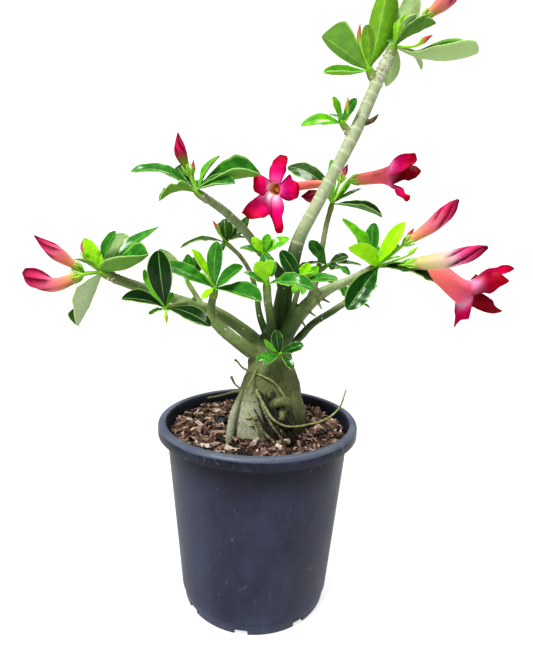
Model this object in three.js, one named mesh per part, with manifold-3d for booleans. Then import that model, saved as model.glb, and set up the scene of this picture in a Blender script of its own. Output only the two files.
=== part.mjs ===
// A desert rose in a black nursery pot. Lengths are millimetres, +Z is up and the plant is looked at from -Y.
// The origin is the middle of the pot's flat underside.
import * as THREE from "three";
import { mergeVertices } from "three/addons/utils/BufferGeometryUtils.js";
import Module from "manifold-3d";

const wasm = await Module();
wasm.setup();

// Driving dimensions
const POT = {
  height: 164,
  lipRadius: 87.5,
  lipHeight: 10,
  mouthRadius: 80.4,
  wallTopRadius: 79.9,
  wallFootRadius: 66.8,
  footRadius: 64.3,
  footHeight: 11,
  wall: 1.8,
  floor: 2.5,
  segments: 32,
};
const DRAIN = { count: 8, width: 11, height: 4.2, innerRadius: 52, firstDegrees: -8 };
const SOIL = {
  level: 152.5,
  rings: 5,
  sectors: 20,
  relief: 2.2,
  chips: 26,
  chipLength: 18,
  chipThickness: 3.8,
  seed: 11,
};
const GAP = 0.35; // clearance between pieces that touch
const FINEST = 0.03; // slivers under this size are dropped
const LEAF = {
  thickness: 0.8,
  sides: [-1, 0, 1],
  stations: [0, 0.3, 0.62, 0.9, 1],
  shape: 1.6,
  roundness: 0.7,
  ends: [0, 0],
  wave: 0,
};
const NARROW_LEAF = { ...LEAF, stations: [0, 0.45, 0.88, 1], widest: 15.5 };
const SMALL_LEAF = { ...NARROW_LEAF, sides: [-1, 1], widest: 9.5 };
const PETAL = {
  ...LEAF,
  stations: [0, 0.45, 0.86, 1],
  shape: 1.15,
  roundness: 0.5,
  ends: [0.45, 0.4],
  bow: 0.08,
  foldDegrees: -8,
  wave: 0.22,
};
const CALYX = { stalkRadius: 1.2, wall: 0.8, cupLength: 3, notch: 0.8, sepalLength: 6.5, leanDegrees: 24 };
const TIP = { coreLength: 4, crownLength: 8, crownRadius: 1, leafRoot: 1.2, climb: 4 };
const FLOWER = {
  baseShare: 0.3,
  budProfile: [0.3, 0.5, 0.66, 0.82, 1, 0.92, 0.6, 0.12],
  bluntProfile: [0.3, 0.55, 0.7, 0.85, 1, 1, 0.8, 0.35],
  furrow: 0.88,
  furledFrom: 0.45,
  twist: 1.2,
  tubeProfile: [0.3, 0.5, 0.62, 0.7, 0.76, 0.86, 1],
  tubeWall: 1.1,
  throatFrom: 3,
  petalRoot: 1.6,
};
const SIDES = { caudex: 12, lobe: 7, branch: 7, thinBranch: 6, root: 5, stub: 4, bud: 8, tube: 8 };
const THIN_BRANCH = 2.5;

// Colour and roughness of each substance
const FINISHES = {
  pot: { color: "#2f3340", roughness: 0.45 },
  soil: { color: "#6b4634", roughness: 0.95 },
  bark: { color: "#8b9a68", roughness: 0.6 },
  leaf: { color: "#3f7d2c", roughness: 0.4 },
  petal: { color: "#e0135f", roughness: 0.5 },
};

// Directions that a leaf's upper face can turn to
const VIEW = [0, -1, 0.25];
const SKY = [0, -0.3, 1];
const AWAY = [0, 1, 0.5];
const LEFT = [-1, -0.6, 0.4];
const RIGHT = [1, -0.6, 0.4];

// Swollen base: centre x, y, height, half width and half depth of each level
const CAUDEX = [
  [10, 2, 124, 12, 12],
  [10, 1, 142, 18, 17],
  [10, 0, 156, 20, 19],
  [10, 0, 168, 24, 20],
  [10, 0, 180, 27.5, 22],
  [10.5, -1, 191, 27, 22.5],
  [10.8, -1, 203, 23.5, 20.5],
  [10.8, -1, 215, 19.8, 17.5],
  [11, 0, 227, 17, 15],
  [13, 0, 240, 11, 10],
];

// Wooden limbs: x, y, z and radius along each
const LOBES = [
  [[-1, -7, 198, 9], [-6, -13, 184, 12.5], [-9, -16, 169, 15], [-9, -17, 154, 15.5], [-6, -11, 136, 11]],
  [[22, -6, 196, 9], [27, -9, 183, 11], [30, -10, 170, 12.5], [30, -8, 155, 12], [24, -3, 136, 8]],
  [[12, 8, 197, 10], [16, 14, 182, 12.5], [18, 17, 166, 13], [17, 15, 150, 12.5], [14, 8, 132, 9]],
  [[-1, 5, 192, 9], [-7, 10, 178, 11], [-10, 13, 162, 12], [-8, 10, 140, 9.5]],
];
const BRANCHES = {
  farLeft: [[6, 0, 224, 7], [-18, 3, 244, 5.4], [-39, 2, 257, 4.8], [-57, 0, 263, 4.6],
    [-74, -3, 268, 4.6], [-94, -8, 275, 4.5], [-117, -14, 283.5, 4.3], [-126, -17, 288, 3.8]],
  innerLeft: [[6, -5, 216, 7], [-17, -14, 233, 5.6], [-32, -18, 246, 5], [-39, -20, 254, 4.2],
    [-40, -21, 265, 3.4], [-38, -22, 275, 3.1]],
  backLeft: [[-50, 1, 261, 3], [-57, 5, 271, 2.4], [-62, 7, 278, 2.1]],
  upperLeft: [[17, 0, 240, 6.5], [20, 2, 270, 6], [16, -1, 290, 4.8], [7, -6, 302, 4], [-3, -10, 312, 3.8],
    [-13, -14, 325, 3.6], [-32, -20, 342, 3.5], [-48, -24, 352, 3.2]],
  behindLeft: [[6, 5, 236, 3.6], [-1, 10, 254, 3], [-4, 14, 271, 2.4], [-10, 20, 290, 2.2],
    [-20, 26, 305, 2.1], [-30, 28, 314, 2]],
  centreFront: [[11, -8, 232, 5], [9, -16, 254, 4], [6, -25, 270, 3.5], [5, -30, 281, 3.2]],
  centreUpper: [[8, -16, 256, 3.2], [5, -18, 280, 2.8], [2, -22, 303, 2.4]],
  right: [[16, -2, 226, 8.5], [27, -8, 250, 7], [38, -10, 265, 6.2], [48, -12, 275, 5.4], [61, -13, 283, 3.8],
    [75, -15, 290, 3.4], [89, -19, 298, 3.2]],
  lowRight: [[20, 2, 220, 4.6], [34, 4, 235, 3.4], [46, 6, 248, 3.2], [61, 8, 258, 3.1], [75, 8, 268, 2.8]],
  centreRight: [[24, -6, 254, 3], [28, -13, 268, 2.4], [31, -18, 282, 2.2]],
  tall: [[15, 0, 226, 9], [20, 4, 273, 7.4], [26, 2, 302, 6.4], [31, -2, 322, 5.7], [43, -4, 347, 5.3],
    [54, -5, 369, 5.1], [63, -6, 387, 5.2], [71, -6, 404, 5.4], [78, -7, 421, 5.2], [86, -8, 441, 4.9],
    [93, -9, 458, 4.5], [96, -9, 465, 3.8]],
  behindStem: [[20, 8, 232, 4.4], [35, 15, 254, 3.2], [48, 21, 281, 2.8], [52, 25, 302, 2.6],
    [57, 32, 334, 2.5], [61, 36, 350, 2.4]],
  behindCentre: [[50, 23, 292, 2.2], [55, 17, 297, 2]],
  topLeft: [[88, -8, 440, 4], [82.5, -9, 448, 3.4]],
  midStem: [[71, -6, 402, 4], [64, -8, 409, 2.6]],
  lowLeft: [[-64, -1, 265, 3], [-70, -14, 264, 2.6], [-74, -26, 263.5, 2.3]],
  trunk: [[13, -10, 217, 3.4], [16, -20, 224, 2.4]],
};
const STUBS = [
  [[46, -12, 273, 4], [44, -17, 283, 2.6], [43, -18, 287, 2]],
  [[50, -14, 273, 1.4], [57, -17, 270, 0.6]],
  [[47, -16, 271, 1.4], [50, -21, 265, 0.6]],
  [[40, -12, 262, 1.4], [46, -16, 258, 0.6]],
  [[34, -11, 254, 1.4], [38, -16, 249, 0.6]],
  [[-56, 0, 266, 2], [-58, -4, 270, 1.2]],
  [[76, -7, 412, 2.2], [85, -9, 415, 2], [89, -10, 419, 0.7]],
];
const ROOTS = [
  [[-13, -17, 194, 2], [-19, -27, 179, 3], [-21.5, -30, 167, 3.6], [-23, -32, 153, 3.2],
    [-22, -30, 142, 2.4]],
  [[10, -19, 178, 4], [15, -28, 186, 4.2], [22, -28, 188, 4.6], [28, -23, 180, 5.6], [31, -20, 168, 6.4],
    [30, -17, 152, 5.5]],
  [[18, -18, 175, 3.6], [21, -30, 178, 3.6], [19, -34, 173, 2.6]],
  [[-2, -20, 195, 2.2], [4, -29, 184, 2.3], [11, -32, 175, 1.6], [24, -35, 170, 1.2], [41, -35, 171, 1.1],
    [57, -32, 175, 1.1], [68, -28, 184, 1.1], [73, -25, 198, 0.9]],
  [[2, -26, 178, 1.6], [8, -35, 168, 2], [17, -41, 157, 2.2], [20, -42, 146, 1.6]],
  [[0, -19, 192, 1.4], [10, -27, 178, 1.6], [22, -32, 160, 1.4], [26, -33, 148, 1.2]],
  [[8, -17, 186, 1.4], [15, -24, 174, 1.6], [25, -27, 158, 1.4], [28, -27, 147, 1.2]],
  [[-5, -15, 214, 1.3], [4, -23, 213.5, 1.2], [12, -24.5, 209, 1.2], [19.5, -26, 200, 1.4],
    [25, -26, 188, 1.8]],
  [[-2, -17, 213, 1.1], [-9, -28, 202, 0.8]],
  [[-4, -12, 208, 1.2], [-15, -15, 214, 1.1], [-19, -15, 219, 1.5]],
  [[-10, -12, 194, 1.2], [-21, -11, 200, 1], [-24, -10, 207, 1.6]],
  [[-8, -4, 190, 1.8], [-24, 8, 184, 1.3], [-36, 22, 177, 1.2], [-50, 38, 169, 0.9]],
  [[-63, 29, 146, 1.2], [-58, 33, 157, 1.2], [-50, 38, 160, 1.2], [-42, 34, 157, 1.2], [-37, 28, 146, 1.2]],
  [[36, -12, 176, 1.8], [48, -18, 165, 1.6], [55, -24, 152, 1.4], [56, -25, 146, 1.2]],
];

// Leafy sprays: the limb each ends, the number of leaves added on its far side, and its other leaves
// as tip x, y, z, width, where the upper face looks, bow and fold in degrees
const SPRAYS = {
  leaves_far_left: { branch: "farLeft", back: 1, leaves: [
    [-141, -24, 317, 12, VIEW, 0.05, 16],
    [-116, -17, 323, 12, VIEW, 0.06, 12],
    [-113, -3, 317, 15, AWAY, -0.05, 12],
    [-86, -6, 327, 14, [-1, -0.6, 0.9], 0.04, 30],
    [-86, -34, 307, 24, [-0.2, 1, 0.6], -0.06, 30],
    [-146, -34, 299, 10, SKY, 0.08, 12],
    [-144, -36, 248, 24, [-0.6, 0.8, 0.3], 0.1, 22],
    [-130, -22, 306, 7, VIEW, 0.05, 20],
  ] },
  leaves_upper_left: { branch: "upperLeft", back: 1, leaves: [
    [-100, -34, 367, 16, [0.2, -0.7, 1], 0.16, 26],
    [-76, -46, 345, 21, [-0.6, -0.2, 1], 0.12, 38],
    [-70, -8, 376, 13, VIEW, 0.06, 14],
    [-34, -25, 382, 13, LEFT, 0.04, 22],
    [-2, -27, 370, 24, [-0.1, -0.75, 1], 0.24, 16],
    [-21, -38, 362, 14, [0, -0.8, 1], 0.14, 18],
  ] },
  leaves_behind_left: { branch: "behindLeft", back: 1, leaves: [
    [-73, 20, 311, 13, SKY, 0.14, 14],
    [-35, 32, 338, 16, VIEW, 0.05, 12],
    [-14, 34, 321, 11, SKY, 0.1, 16],
    [-14, 44, 341, 10, VIEW, 0.05, 14],
    [-36, 17, 309, 6, SKY, 0.08, 10],
  ] },
  leaves_inner_left: { branch: "innerLeft", back: 0, leaves: [
    [-55, -31, 310, 11, RIGHT, 0.05, 26],
    [-35, -30, 317, 13, VIEW, 0.06, 10],
    [-14, -34, 299, 15, [-0.5, -1, 0.7], 0.08, 22],
    [2, -46, 275, 22, [0, -0.7, 1], 0.14, 14],
    [-76, -32, 298, 15, [0.4, -0.9, 0.8], 0.1, 18],
    [-46, -33, 272, 7, SKY, 0.06, 12],
    [-48, -23, 292, 4, VIEW, 0.04, 14],
  ] },
  leaves_back_left: { branch: "backLeft", back: 1, leaves: [
    [-88, 3, 310, 10, [0.6, 1, 0.4], 0.05, 20],
    [-64, 8, 306, 12, VIEW, 0.06, 14],
    [-55, 15, 304, 13, VIEW, 0.05, 12],
  ] },
  leaves_low_left: { branch: "lowLeft", back: 0, leaves: [
    [-79, -38, 309, 20, VIEW, 0.07, 10],
    [-107, -42, 271, 13, [0, -0.7, 1], 0.12, 14],
    [-87, -38, 259, 7, SKY, 0.08, 14],
    [-38, -45, 252, 17, [0.1, -0.7, 1], 0.12, 12],
    [-86, -24, 272, 7, VIEW, 0.05, 14],
    [-70, -29, 276, 6, VIEW, 0.05, 14],
    [-95, -20, 293, 8, LEFT, 0.05, 20],
  ] },
  leaves_centre_front: { branch: "centreFront", back: 0, leaves: [
    [1.5, -42, 304, 18, VIEW, 0.05, 6],
    [-13, -40, 294, 9, [0.2, -0.8, 1], 0.08, 18],
    [40, -49, 283, 13, [0, -0.6, 1], 0.1, 14],
  ] },
  leaves_centre_upper: { branch: "centreUpper", back: 0, leaves: [
    [-7, -28, 321, 8, VIEW, 0.05, 16],
    [5, -22, 324, 8, VIEW, 0.05, 16],
    [22, -20, 321, 11, [-0.4, -1, 0.7], 0.08, 18],
    [-17, -31, 312, 8, [0, -0.8, 1], 0.1, 16],
    [9, -34, 291, 14, VIEW, 0.1, 12],
  ] },
  leaves_centre_right: { branch: "centreRight", back: 0, leaves: [
    [15, -29, 311, 13, VIEW, 0.12, 12],
    [38, -24, 302, 9, VIEW, 0.05, 16],
    [40, -34, 295, 8, SKY, 0.05, 16],
    [60, -34, 290, 12, [0, -0.7, 1], 0.12, 14],
    [26, -31, 278, 6, SKY, 0.06, 14],
    [34, -31, 277, 6, SKY, 0.06, 14],
    [47, -13, 299, 8, VIEW, 0.05, 14],
  ] },
  leaves_behind_centre: { branch: "behindCentre", back: 0, leaves: [
    [41, 14, 320, 12, VIEW, 0.08, 20],
    [30, 7, 295, 9, SKY, 0.12, 16],
    [76, 20, 308, 11, [-0.3, -1, 1], 0.08, 20],
    [88, 16, 300, 8, SKY, 0.08, 14],
    [77, 8, 292, 11, SKY, 0.1, 12],
    [66, 7, 299, 8, VIEW, 0.08, 10],
  ] },
  leaves_behind_stem: { branch: "behindStem", back: 1, leaves: [
    [89, 44, 369, 6, [-0.4, -0.6, 1], 0.05, 20],
    [107, 31, 343, 16, [0, 0.2, 1], 0.12, 20],
    [21, 42, 386, 16, [0, -0.8, 1], 0.18, 12],
    [60, 38, 393, 8, VIEW, 0.05, 14],
    [82, 48, 381, 6, VIEW, 0.05, 14],
  ] },
  leaves_right: { branch: "right", back: 1, leaves: [
    [62, -27, 337, 15, [0.8, -0.9, 0.3], 0.06, 26],
    [89, -18, 335, 13, [-0.6, -1, 0.2], 0.06, 20],
    [111, -22, 336, 11, [-0.8, -1, 0.1], 0.12, 24],
    [73, -44, 319, 18, VIEW, 0.1, 14],
    [68, -38, 267, 19, VIEW, 0.08, 14],
    [137, -27, 290, 12, [0, -0.5, 1], 0.12, 18],
    [108, -32, 309, 8, SKY, 0.06, 18],
  ] },
  leaves_low_right: { branch: "lowRight", back: 2, leaves: [
    [95, 4, 264, 6, SKY, 0.08, 14],
    [101, 6, 283, 6, SKY, 0.08, 14],
    [69, 2, 283, 8, VIEW, 0.06, 14],
  ] },
  leaves_trunk: { branch: "trunk", back: 0, leaves: [
    [13, -30, 248, 10, VIEW, 0.06, 12],
    [36, -28, 236, 10, [-0.3, -0.9, 1], 0.06, 18],
    [-2, -32, 223, 8, SKY, 0.14, 12],
    [4, -38, 221, 8, SKY, 0.14, 14],
    [28, -35, 217, 7, [0.2, -0.9, 1], 0.08, 14],
    [4, -25, 239, 4, VIEW, 0.05, 14],
  ] },
  leaves_top_left: { branch: "topLeft", back: 1, leaves: [
    [42, -12, 474, 27, [0.35, 1, 0.5], -0.05, 32],
    [44, -17, 448, 15, [0, -1, 0.6], 0.1, 22],
    [74, -21, 479, 10, AWAY, 0.04, 18],
    [90, -9, 515, 24, [-0.35, 1, 0.2], 0.06, 14],
  ] },
  leaves_top: { branch: "tall", back: 1, leaves: [
    [117, 9, 517, 18, [-0.2, 1, 0.2], 0.04, 14],
    [127, -17, 484, 11, [-0.3, 0.8, 1], 0.06, 14],
    [160, -16, 463, 15, [0, 0.45, 1], 0.1, 16],
    [124, 2, 457, 10, [0.3, -0.2, 1], 0.16, 14],
    [98, 9, 446, 12, [0.6, 1, 0.6], 0.08, 10],
    [111, -18, 488, 9, [-0.6, 1, 0.3], 0.04, 18],
  ] },
  leaves_mid_stem: { branch: "midStem", back: 1, leaves: [
    [28, -14, 408, 12, [0, -0.9, 0.5], 0.1, 16],
    [52, -14, 430, 8, [0.5, -1, 0.3], 0.04, 20],
    [70, -15, 429, 8, VIEW, 0.06, 16],
  ] },
};
const FAN = {
  length: 34,
  width: 13,
  riseDegrees: 32,
  firstDegrees: 62,
  spreadDegrees: 62,
  bow: 0.08,
  foldDegrees: 14,
  seed: 5,
};

// Buds: the spray each grows from, base, middle and tip of the axis, and greatest radius
const BUDS = {
  bud_far_left: { spray: "leaves_far_left", radius: 6.2,
    axis: [[-148, -18, 292], [-164, -22, 304], [-180, -26, 318]] },
  bud_far_left_opening: { spray: "leaves_far_left", radius: 8.2, blunt: true,
    axis: [[-144, -30, 287], [-164, -34, 281], [-185, -34, 288]] },
  bud_far_left_small: { spray: "leaves_far_left", radius: 3.2,
    axis: [[-146, -8, 301], [-148, -7, 308], [-149, -6, 316]] },
  bud_upper_left: { spray: "leaves_upper_left", radius: 5,
    axis: [[-58, -26, 369], [-64, -26, 384], [-66, -26, 398]] },
  bud_stem_dark: { spray: "leaves_behind_stem", radius: 6,
    axis: [[54, 30, 361], [42, 19, 358.5], [32, 9, 357]] },
  bud_stem_small: { spray: "leaves_behind_stem", radius: 3,
    axis: [[69, 39, 375], [72, 40, 382], [75, 41, 390]] },
  bud_right_upper: { spray: "leaves_right", radius: 5.8,
    axis: [[115, -22, 320], [135, -25, 335], [152, -26, 354]] },
  bud_right_lower: { spray: "leaves_right", radius: 7,
    axis: [[117, -28, 303], [146, -35, 308], [172, -40, 318]] },
  bud_top: { spray: "leaves_top", radius: 6.4,
    axis: [[120, -8, 490], [135, -9, 502], [150, -8, 515]] },
};

// Open flowers: base, middle and mouth of the tube, where the mouth looks, its radius,
// and the petals as tip x, y, z, width and where the inner face looks
const BLOOMS = {
  bloom_front: { spray: "leaves_behind_stem", looks: [-0.5, -0.85, -0.15], radius: 7.5,
    axis: [[55, 23, 370], [38, 12, 367], [9, -10, 359]],
    petals: [
      [15, -12, 386, 18, [-0.4, -1, 0.1]],
      [-8, -17, 363, 19, [-0.3, -1, 0.1]],
      [-14, -20, 339, 23, [-0.4, -1, 0.3]],
      [14, -14, 325, 18, [-0.3, -1, 0.3]],
      [29, -6, 359, 20, [-0.9, -1, 0]],
    ] },
  bloom_stem_side: { spray: "leaves_behind_stem", looks: [0.94, -0.3, 0.08], radius: 8.5,
    axis: [[80, 36, 375.5], [96, 31, 377], [110, 27, 378.5]],
    petals: [
      [133, 32, 399, 18, [-0.5, -0.9, 0.4]],
      [139, 34, 384, 16, [-0.6, -1, 0.3]],
      [130, 18, 393, 17, [0.5, 1, 0.1]],
      [127, 24, 357, 14, [0.6, -1, 0.3]],
      [129, 46, 390, 17, [-0.6, -1, 0]],
    ] },
  bloom_right: { spray: "leaves_right", looks: [0.89, 0.05, -0.45], radius: 10.5,
    axis: [[121, -8, 303], [147, -8, 296], [172, -6, 280]],
    petals: [
      [216, 4, 302, 21, [-0.4, -1, -0.2]],
      [209, -4, 291, 18, [-0.3, -1, 0.5]],
      [210, 4, 264, 16, [-0.2, -1, -0.4]],
      [166, -8, 251, 18, [0.2, -1, -0.1]],
      [197, 20, 287, 20, [0, -1, -0.2]],
    ] },
};

// Buds still too young for a calyx of their own: spray, then base, middle and tip, and radius
const YOUNG_BUDS = [
  ["leaves_upper_left", [[-55, -22, 367], [-55, -21, 373], [-55, -21, 379]], 1.9],
  ["leaves_behind_left", [[-38, 25, 324], [-41, 25, 330], [-45, 25, 336]], 2.1],
  ["leaves_right", [[118, -9, 320], [121, -9, 327], [124, -10, 332]], 2.1],
  ["leaves_right", [[103, -18, 309], [107, -19, 314], [110, -20, 319]], 2],
  ["leaves_right", [[115, -28, 310], [118, -29, 313], [122, -30, 317]], 2],
  ["leaves_top_left", [[73, -13, 464], [70, -14, 473], [70, -15, 482]], 2.1],
  ["leaves_top", [[112, -19, 466], [117, -23, 468.5], [122, -26, 471]], 2.4],
  ["leaves_top", [[98, -16, 473], [98.5, -18, 479], [99, -20, 485]], 2.2],
  ["leaves_mid_stem", [[65, -11, 416], [64, -13, 423], [64, -14, 430]], 2.1],
  ["leaves_low_left", [[-74.5, -34, 261], [-74, -36, 257], [-73, -38, 252]], 1.7],
];

const point = ([x, y, z]) => new THREE.Vector3(x, y, z);

// Numbers from 0 to 1 that repeat for one seed.
function randomSource(seed) {
  let state = seed * 7919;
  return () => {
    state = (state * 1664525 + 1013904223) % 4294967296;
    return state / 4294967296;
  };
}

function flowersOf(spray) {
  return Object.values({ ...BUDS, ...BLOOMS }).filter((flower) => flower.spray === spray);
}

// A closed three.js geometry as a solid. Its faces are turned out if they all point in.
function solidOf(geometry) {
  const bare = geometry.clone();
  bare.deleteAttribute("normal");
  bare.deleteAttribute("uv");
  const merged = mergeVertices(bare, 1e-4);
  const position = merged.attributes.position;
  const corners = [];
  let volume = 0;
  for (let i = 0; i < merged.index.count; i += 3) {
    const [a, b, c] = [0, 1, 2].map((k) => merged.index.getX(i + k));
    if (a === b || b === c || c === a) continue;
    corners.push(a, b, c);
    const [u, v, w] = [a, b, c].map((n) => new THREE.Vector3().fromBufferAttribute(position, n));
    volume += u.dot(v.cross(w));
  }
  if (volume < 0) corners.reverse();
  const mesh = new wasm.Mesh({
    numProp: 3,
    vertProperties: new Float32Array(position.array),
    triVerts: new Uint32Array(corners),
  });
  return new wasm.Manifold(mesh);
}

// Points and triangles as a solid.
function solidFromFaces(points, faces) {
  const geometry = new THREE.BufferGeometry().setFromPoints(points);
  geometry.setIndex(faces.flat());
  return solidOf(geometry);
}

function joined(solids) {
  return wasm.Manifold.union(solids);
}

// A skin over rings of points with the same count, closed by flat ends.
function loft(rings) {
  const count = rings[0].length;
  const faces = [];
  for (let i = 0; i + 1 < rings.length; i++) {
    for (let j = 0; j < count; j++) {
      const k = (j + 1) % count;
      const [a, b, c, d] = [i * count + j, i * count + k, (i + 1) * count + k, (i + 1) * count + j];
      faces.push([a, b, c], [a, c, d]);
    }
  }
  const last = (rings.length - 1) * count;
  for (let j = 1; j + 1 < count; j++) {
    faces.push([0, j + 1, j], [last, last + j, last + j + 1]);
  }
  return solidFromFaces(rings.flat(), faces);
}

// A ring of points round a centre, in the plane of two unit vectors.
function ring(centre, across, up, radiusAt, sides, turn = 0) {
  return Array.from({ length: sides }, (_, k) => {
    const angle = (2 * Math.PI * k) / sides + turn;
    return centre.clone()
      .addScaledVector(across, radiusAt(k) * Math.cos(angle))
      .addScaledVector(up, radiusAt(k) * Math.sin(angle));
  });
}

// Rings along a smooth curve through the points: radiusAt(fraction, side) gives their size.
function ringsAlong(points, steps, sides, radiusAt, twist = 0) {
  const curve = new THREE.CatmullRomCurve3(points, false, "centripetal");
  const frames = curve.computeFrenetFrames(steps, false);
  return Array.from({ length: steps + 1 }, (_, i) => {
    const share = i / steps;
    const centre = curve.getPointAt(share);
    const radius = (k) => radiusAt(curve.getUtoTmapping(share), k);
    return ring(centre, frames.normals[i], frames.binormals[i], radius, sides, twist * share);
  });
}

// A value read off a list by a fraction of its length.
function readOff(values, fraction) {
  const place = Math.min(Math.max(fraction, 0), 1) * (values.length - 1);
  const low = Math.min(Math.floor(place), values.length - 2);
  return THREE.MathUtils.lerp(values[low], values[low + 1], place - low);
}

// A tapering round limb. extra widens it, for the hole that it stands in.
function limb(stops, sides, extra = 0) {
  const radii = stops.map((stop) => stop[3] + extra);
  return loft(ringsAlong(stops.map(point), stops.length - 1, sides, (t) => readOff(radii, t)));
}

// A thin plate between two grids of points, split alike on both faces.
function plate(top, bottom) {
  const rows = top.length;
  const columns = top[0].length;
  const under = rows * columns;
  const at = (i, j) => i * columns + j;
  const faces = [];
  for (let i = 0; i + 1 < rows; i++) {
    for (let j = 0; j + 1 < columns; j++) {
      const quad = [at(i, j), at(i + 1, j), at(i + 1, j + 1), at(i, j + 1)];
      for (const [a, b, c] of [[0, 1, 2], [0, 2, 3]]) {
        faces.push([quad[a], quad[b], quad[c]]);
        faces.push([quad[a] + under, quad[c] + under, quad[b] + under]);
      }
    }
  }
  const edge = [];
  for (let j = 0; j < columns; j++) edge.push(at(0, j));
  for (let i = 1; i < rows; i++) edge.push(at(i, columns - 1));
  for (let j = columns - 2; j >= 0; j--) edge.push(at(rows - 1, j));
  for (let i = rows - 2; i > 0; i--) edge.push(at(i, 0));
  edge.forEach((a, k) => {
    const b = edge[(k + 1) % edge.length];
    faces.push([a, b, b + under], [a, b + under, a + under]);
  });
  return solidFromFaces([...top.flat(), ...bottom.flat()], faces);
}

// Half width of a blade that widens to a round end, as a share of its greatest.
function bladeWidth(t, form) {
  const rounded = Math.pow(Math.max(Math.sin(Math.PI * Math.pow(t, form.shape)), 0), form.roundness);
  return Math.max(rounded, form.ends[t < 0.5 ? 0 : 1]);
}

// A leaf or petal from base to tip, bowed along its length and folded along its midrib.
function blade(base, tip, width, face, bow, foldDegrees, form) {
  const along = tip.clone().sub(base);
  const length = along.length();
  along.normalize();
  const normal = point(face).addScaledVector(along, -point(face).dot(along)).normalize();
  const side = new THREE.Vector3().crossVectors(along, normal);
  const fold = THREE.MathUtils.degToRad(foldDegrees);
  const top = [];
  const bottom = [];
  form.stations.forEach((t, i) => {
    const half = (width / 2) * bladeWidth(t, form);
    const middle = base.clone()
      .addScaledVector(along, length * t)
      .addScaledVector(normal, length * bow * 4 * t * (1 - t));
    const row = form.sides.map((s) => {
      const lift = half * (Math.abs(s) * Math.sin(fold) + s * form.wave * Math.sin(i * 2.3));
      return middle.clone().addScaledVector(side, s * half * Math.cos(fold)).addScaledVector(normal, lift);
    });
    top.push(row.map((p) => p.clone().addScaledVector(normal, form.thickness / 2)));
    bottom.push(row.map((p) => p.clone().addScaledVector(normal, -form.thickness / 2)));
  });
  return plate(top, bottom);
}

// The end of a limb: its last point, direction and radius.
function limbEnd(stops) {
  const [before, end] = stops.slice(-2).map(point);
  return { end, direction: end.clone().sub(before).normalize(), radius: stops.at(-1)[3] };
}

// The green calyx of one flower: a stalk from the growing tip, and a cup with five pointed sepals.
function calyx(from, base, direction, radius) {
  const across = new THREE.Vector3(0.1, 0.2, 1).cross(direction).normalize();
  const up = new THREE.Vector3().crossVectors(direction, across);
  const { stalkRadius, wall, cupLength, notch, sepalLength } = CALYX;
  const lean = THREE.MathUtils.degToRad(CALYX.leanDegrees);
  const mouth = radius + GAP + wall;
  const level = (height, size) => ring(base.clone().addScaledVector(direction, height), across, up, size, 10);
  const reach = (k) => (k % 2 ? mouth : mouth + sepalLength * Math.sin(lean));
  const teeth = (inset) => level(0, (k) => reach(k) - inset)
    .map((p, k) => p.addScaledVector(direction, k % 2 ? notch : sepalLength * Math.cos(lean)));
  return loft([
    ring(from, across, up, () => stalkRadius, 10),
    level(-GAP - wall - cupLength, () => stalkRadius),
    teeth(0),
    teeth(wall),
    level(-GAP, () => radius + GAP),
  ]);
}

// A bud too young to show its petals, on its own stalk.
function youngBud(from, axis, radius) {
  const stops = [from.toArray(), ...axis];
  const radii = [0.9, 0.9, radius, 0.35];
  return limb(stops.map((stop, i) => [...stop, radii[i]]), SIDES.root);
}

// Tips of the leaves on the far side of a spray, in a fan.
function fanTips(core, count, draw) {
  return Array.from({ length: count }, (_, k) => {
    const share = count > 1 ? k / (count - 1) : 0.5;
    const turn = THREE.MathUtils.degToRad(FAN.firstDegrees + FAN.spreadDegrees * share + 12 * (draw() - 0.5));
    const rise = THREE.MathUtils.degToRad(FAN.riseDegrees + 20 * (draw() - 0.5));
    const reach = point([Math.cos(turn) * Math.cos(rise), Math.sin(turn) * Math.cos(rise), Math.sin(rise)]);
    return core.clone().addScaledVector(reach, FAN.length * (0.8 + 0.3 * draw()));
  });
}

// A leaf rooted in the growing tip. One that turns back down its branch springs from higher up.
function rooted(core, direction, tip, width, face, bow, fold) {
  const reach = tip.clone().sub(core).normalize();
  const base = core.clone()
    .addScaledVector(reach, TIP.leafRoot)
    .addScaledVector(direction, Math.max(-reach.dot(direction), 0) * TIP.climb);
  const form = [SMALL_LEAF, NARROW_LEAF].find(({ widest }) => width < widest) ?? LEAF;
  return blade(base, tip, width, face, bow, fold, form);
}

// One leafy spray: the green growing tip, its leaves, and the calyxes of its flowers.
function spray(name, draw) {
  const { branch, back, leaves } = SPRAYS[name];
  const { end, direction, radius } = limbEnd(BRANCHES[branch]);
  const foot = end.clone().addScaledVector(direction, GAP);
  const core = foot.clone().addScaledVector(direction, TIP.coreLength);
  const crown = foot.clone().addScaledVector(direction, TIP.crownLength);
  const parts = [limb([
    [...foot, radius * 0.95],
    [...core, radius * 0.9],
    [...crown, TIP.crownRadius],
  ], SIDES.thinBranch)];
  for (const [x, y, z, width, face, bow, fold] of leaves) {
    parts.push(rooted(core, direction, point([x, y, z]), width, face, bow, fold));
  }
  for (const tip of fanTips(core, back, draw)) {
    parts.push(rooted(core, direction, tip, FAN.width, SKY, FAN.bow, FAN.foldDegrees));
  }
  for (const flower of flowersOf(name)) {
    const [base, middle] = flower.axis.map(point);
    parts.push(calyx(core, base, middle.sub(base).normalize(), flower.radius * FLOWER.baseShare));
  }
  for (const [, axis, size] of YOUNG_BUDS.filter(([owner]) => owner === name)) {
    parts.push(youngBud(core, axis, size));
  }
  return joined(parts);
}

// A furled flower bud with the spiral ridges of its rolled petals.
function bud({ axis, radius, blunt }) {
  const profile = blunt ? FLOWER.bluntProfile : FLOWER.budProfile;
  const furrow = (t, k) => (t > FLOWER.furledFrom && k % 2 ? FLOWER.furrow : 1);
  const size = (t, k) => radius * readOff(profile, t) * furrow(t, k);
  return loft(ringsAlong(axis.map(point), profile.length - 1, SIDES.bud, size, FLOWER.twist));
}

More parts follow.
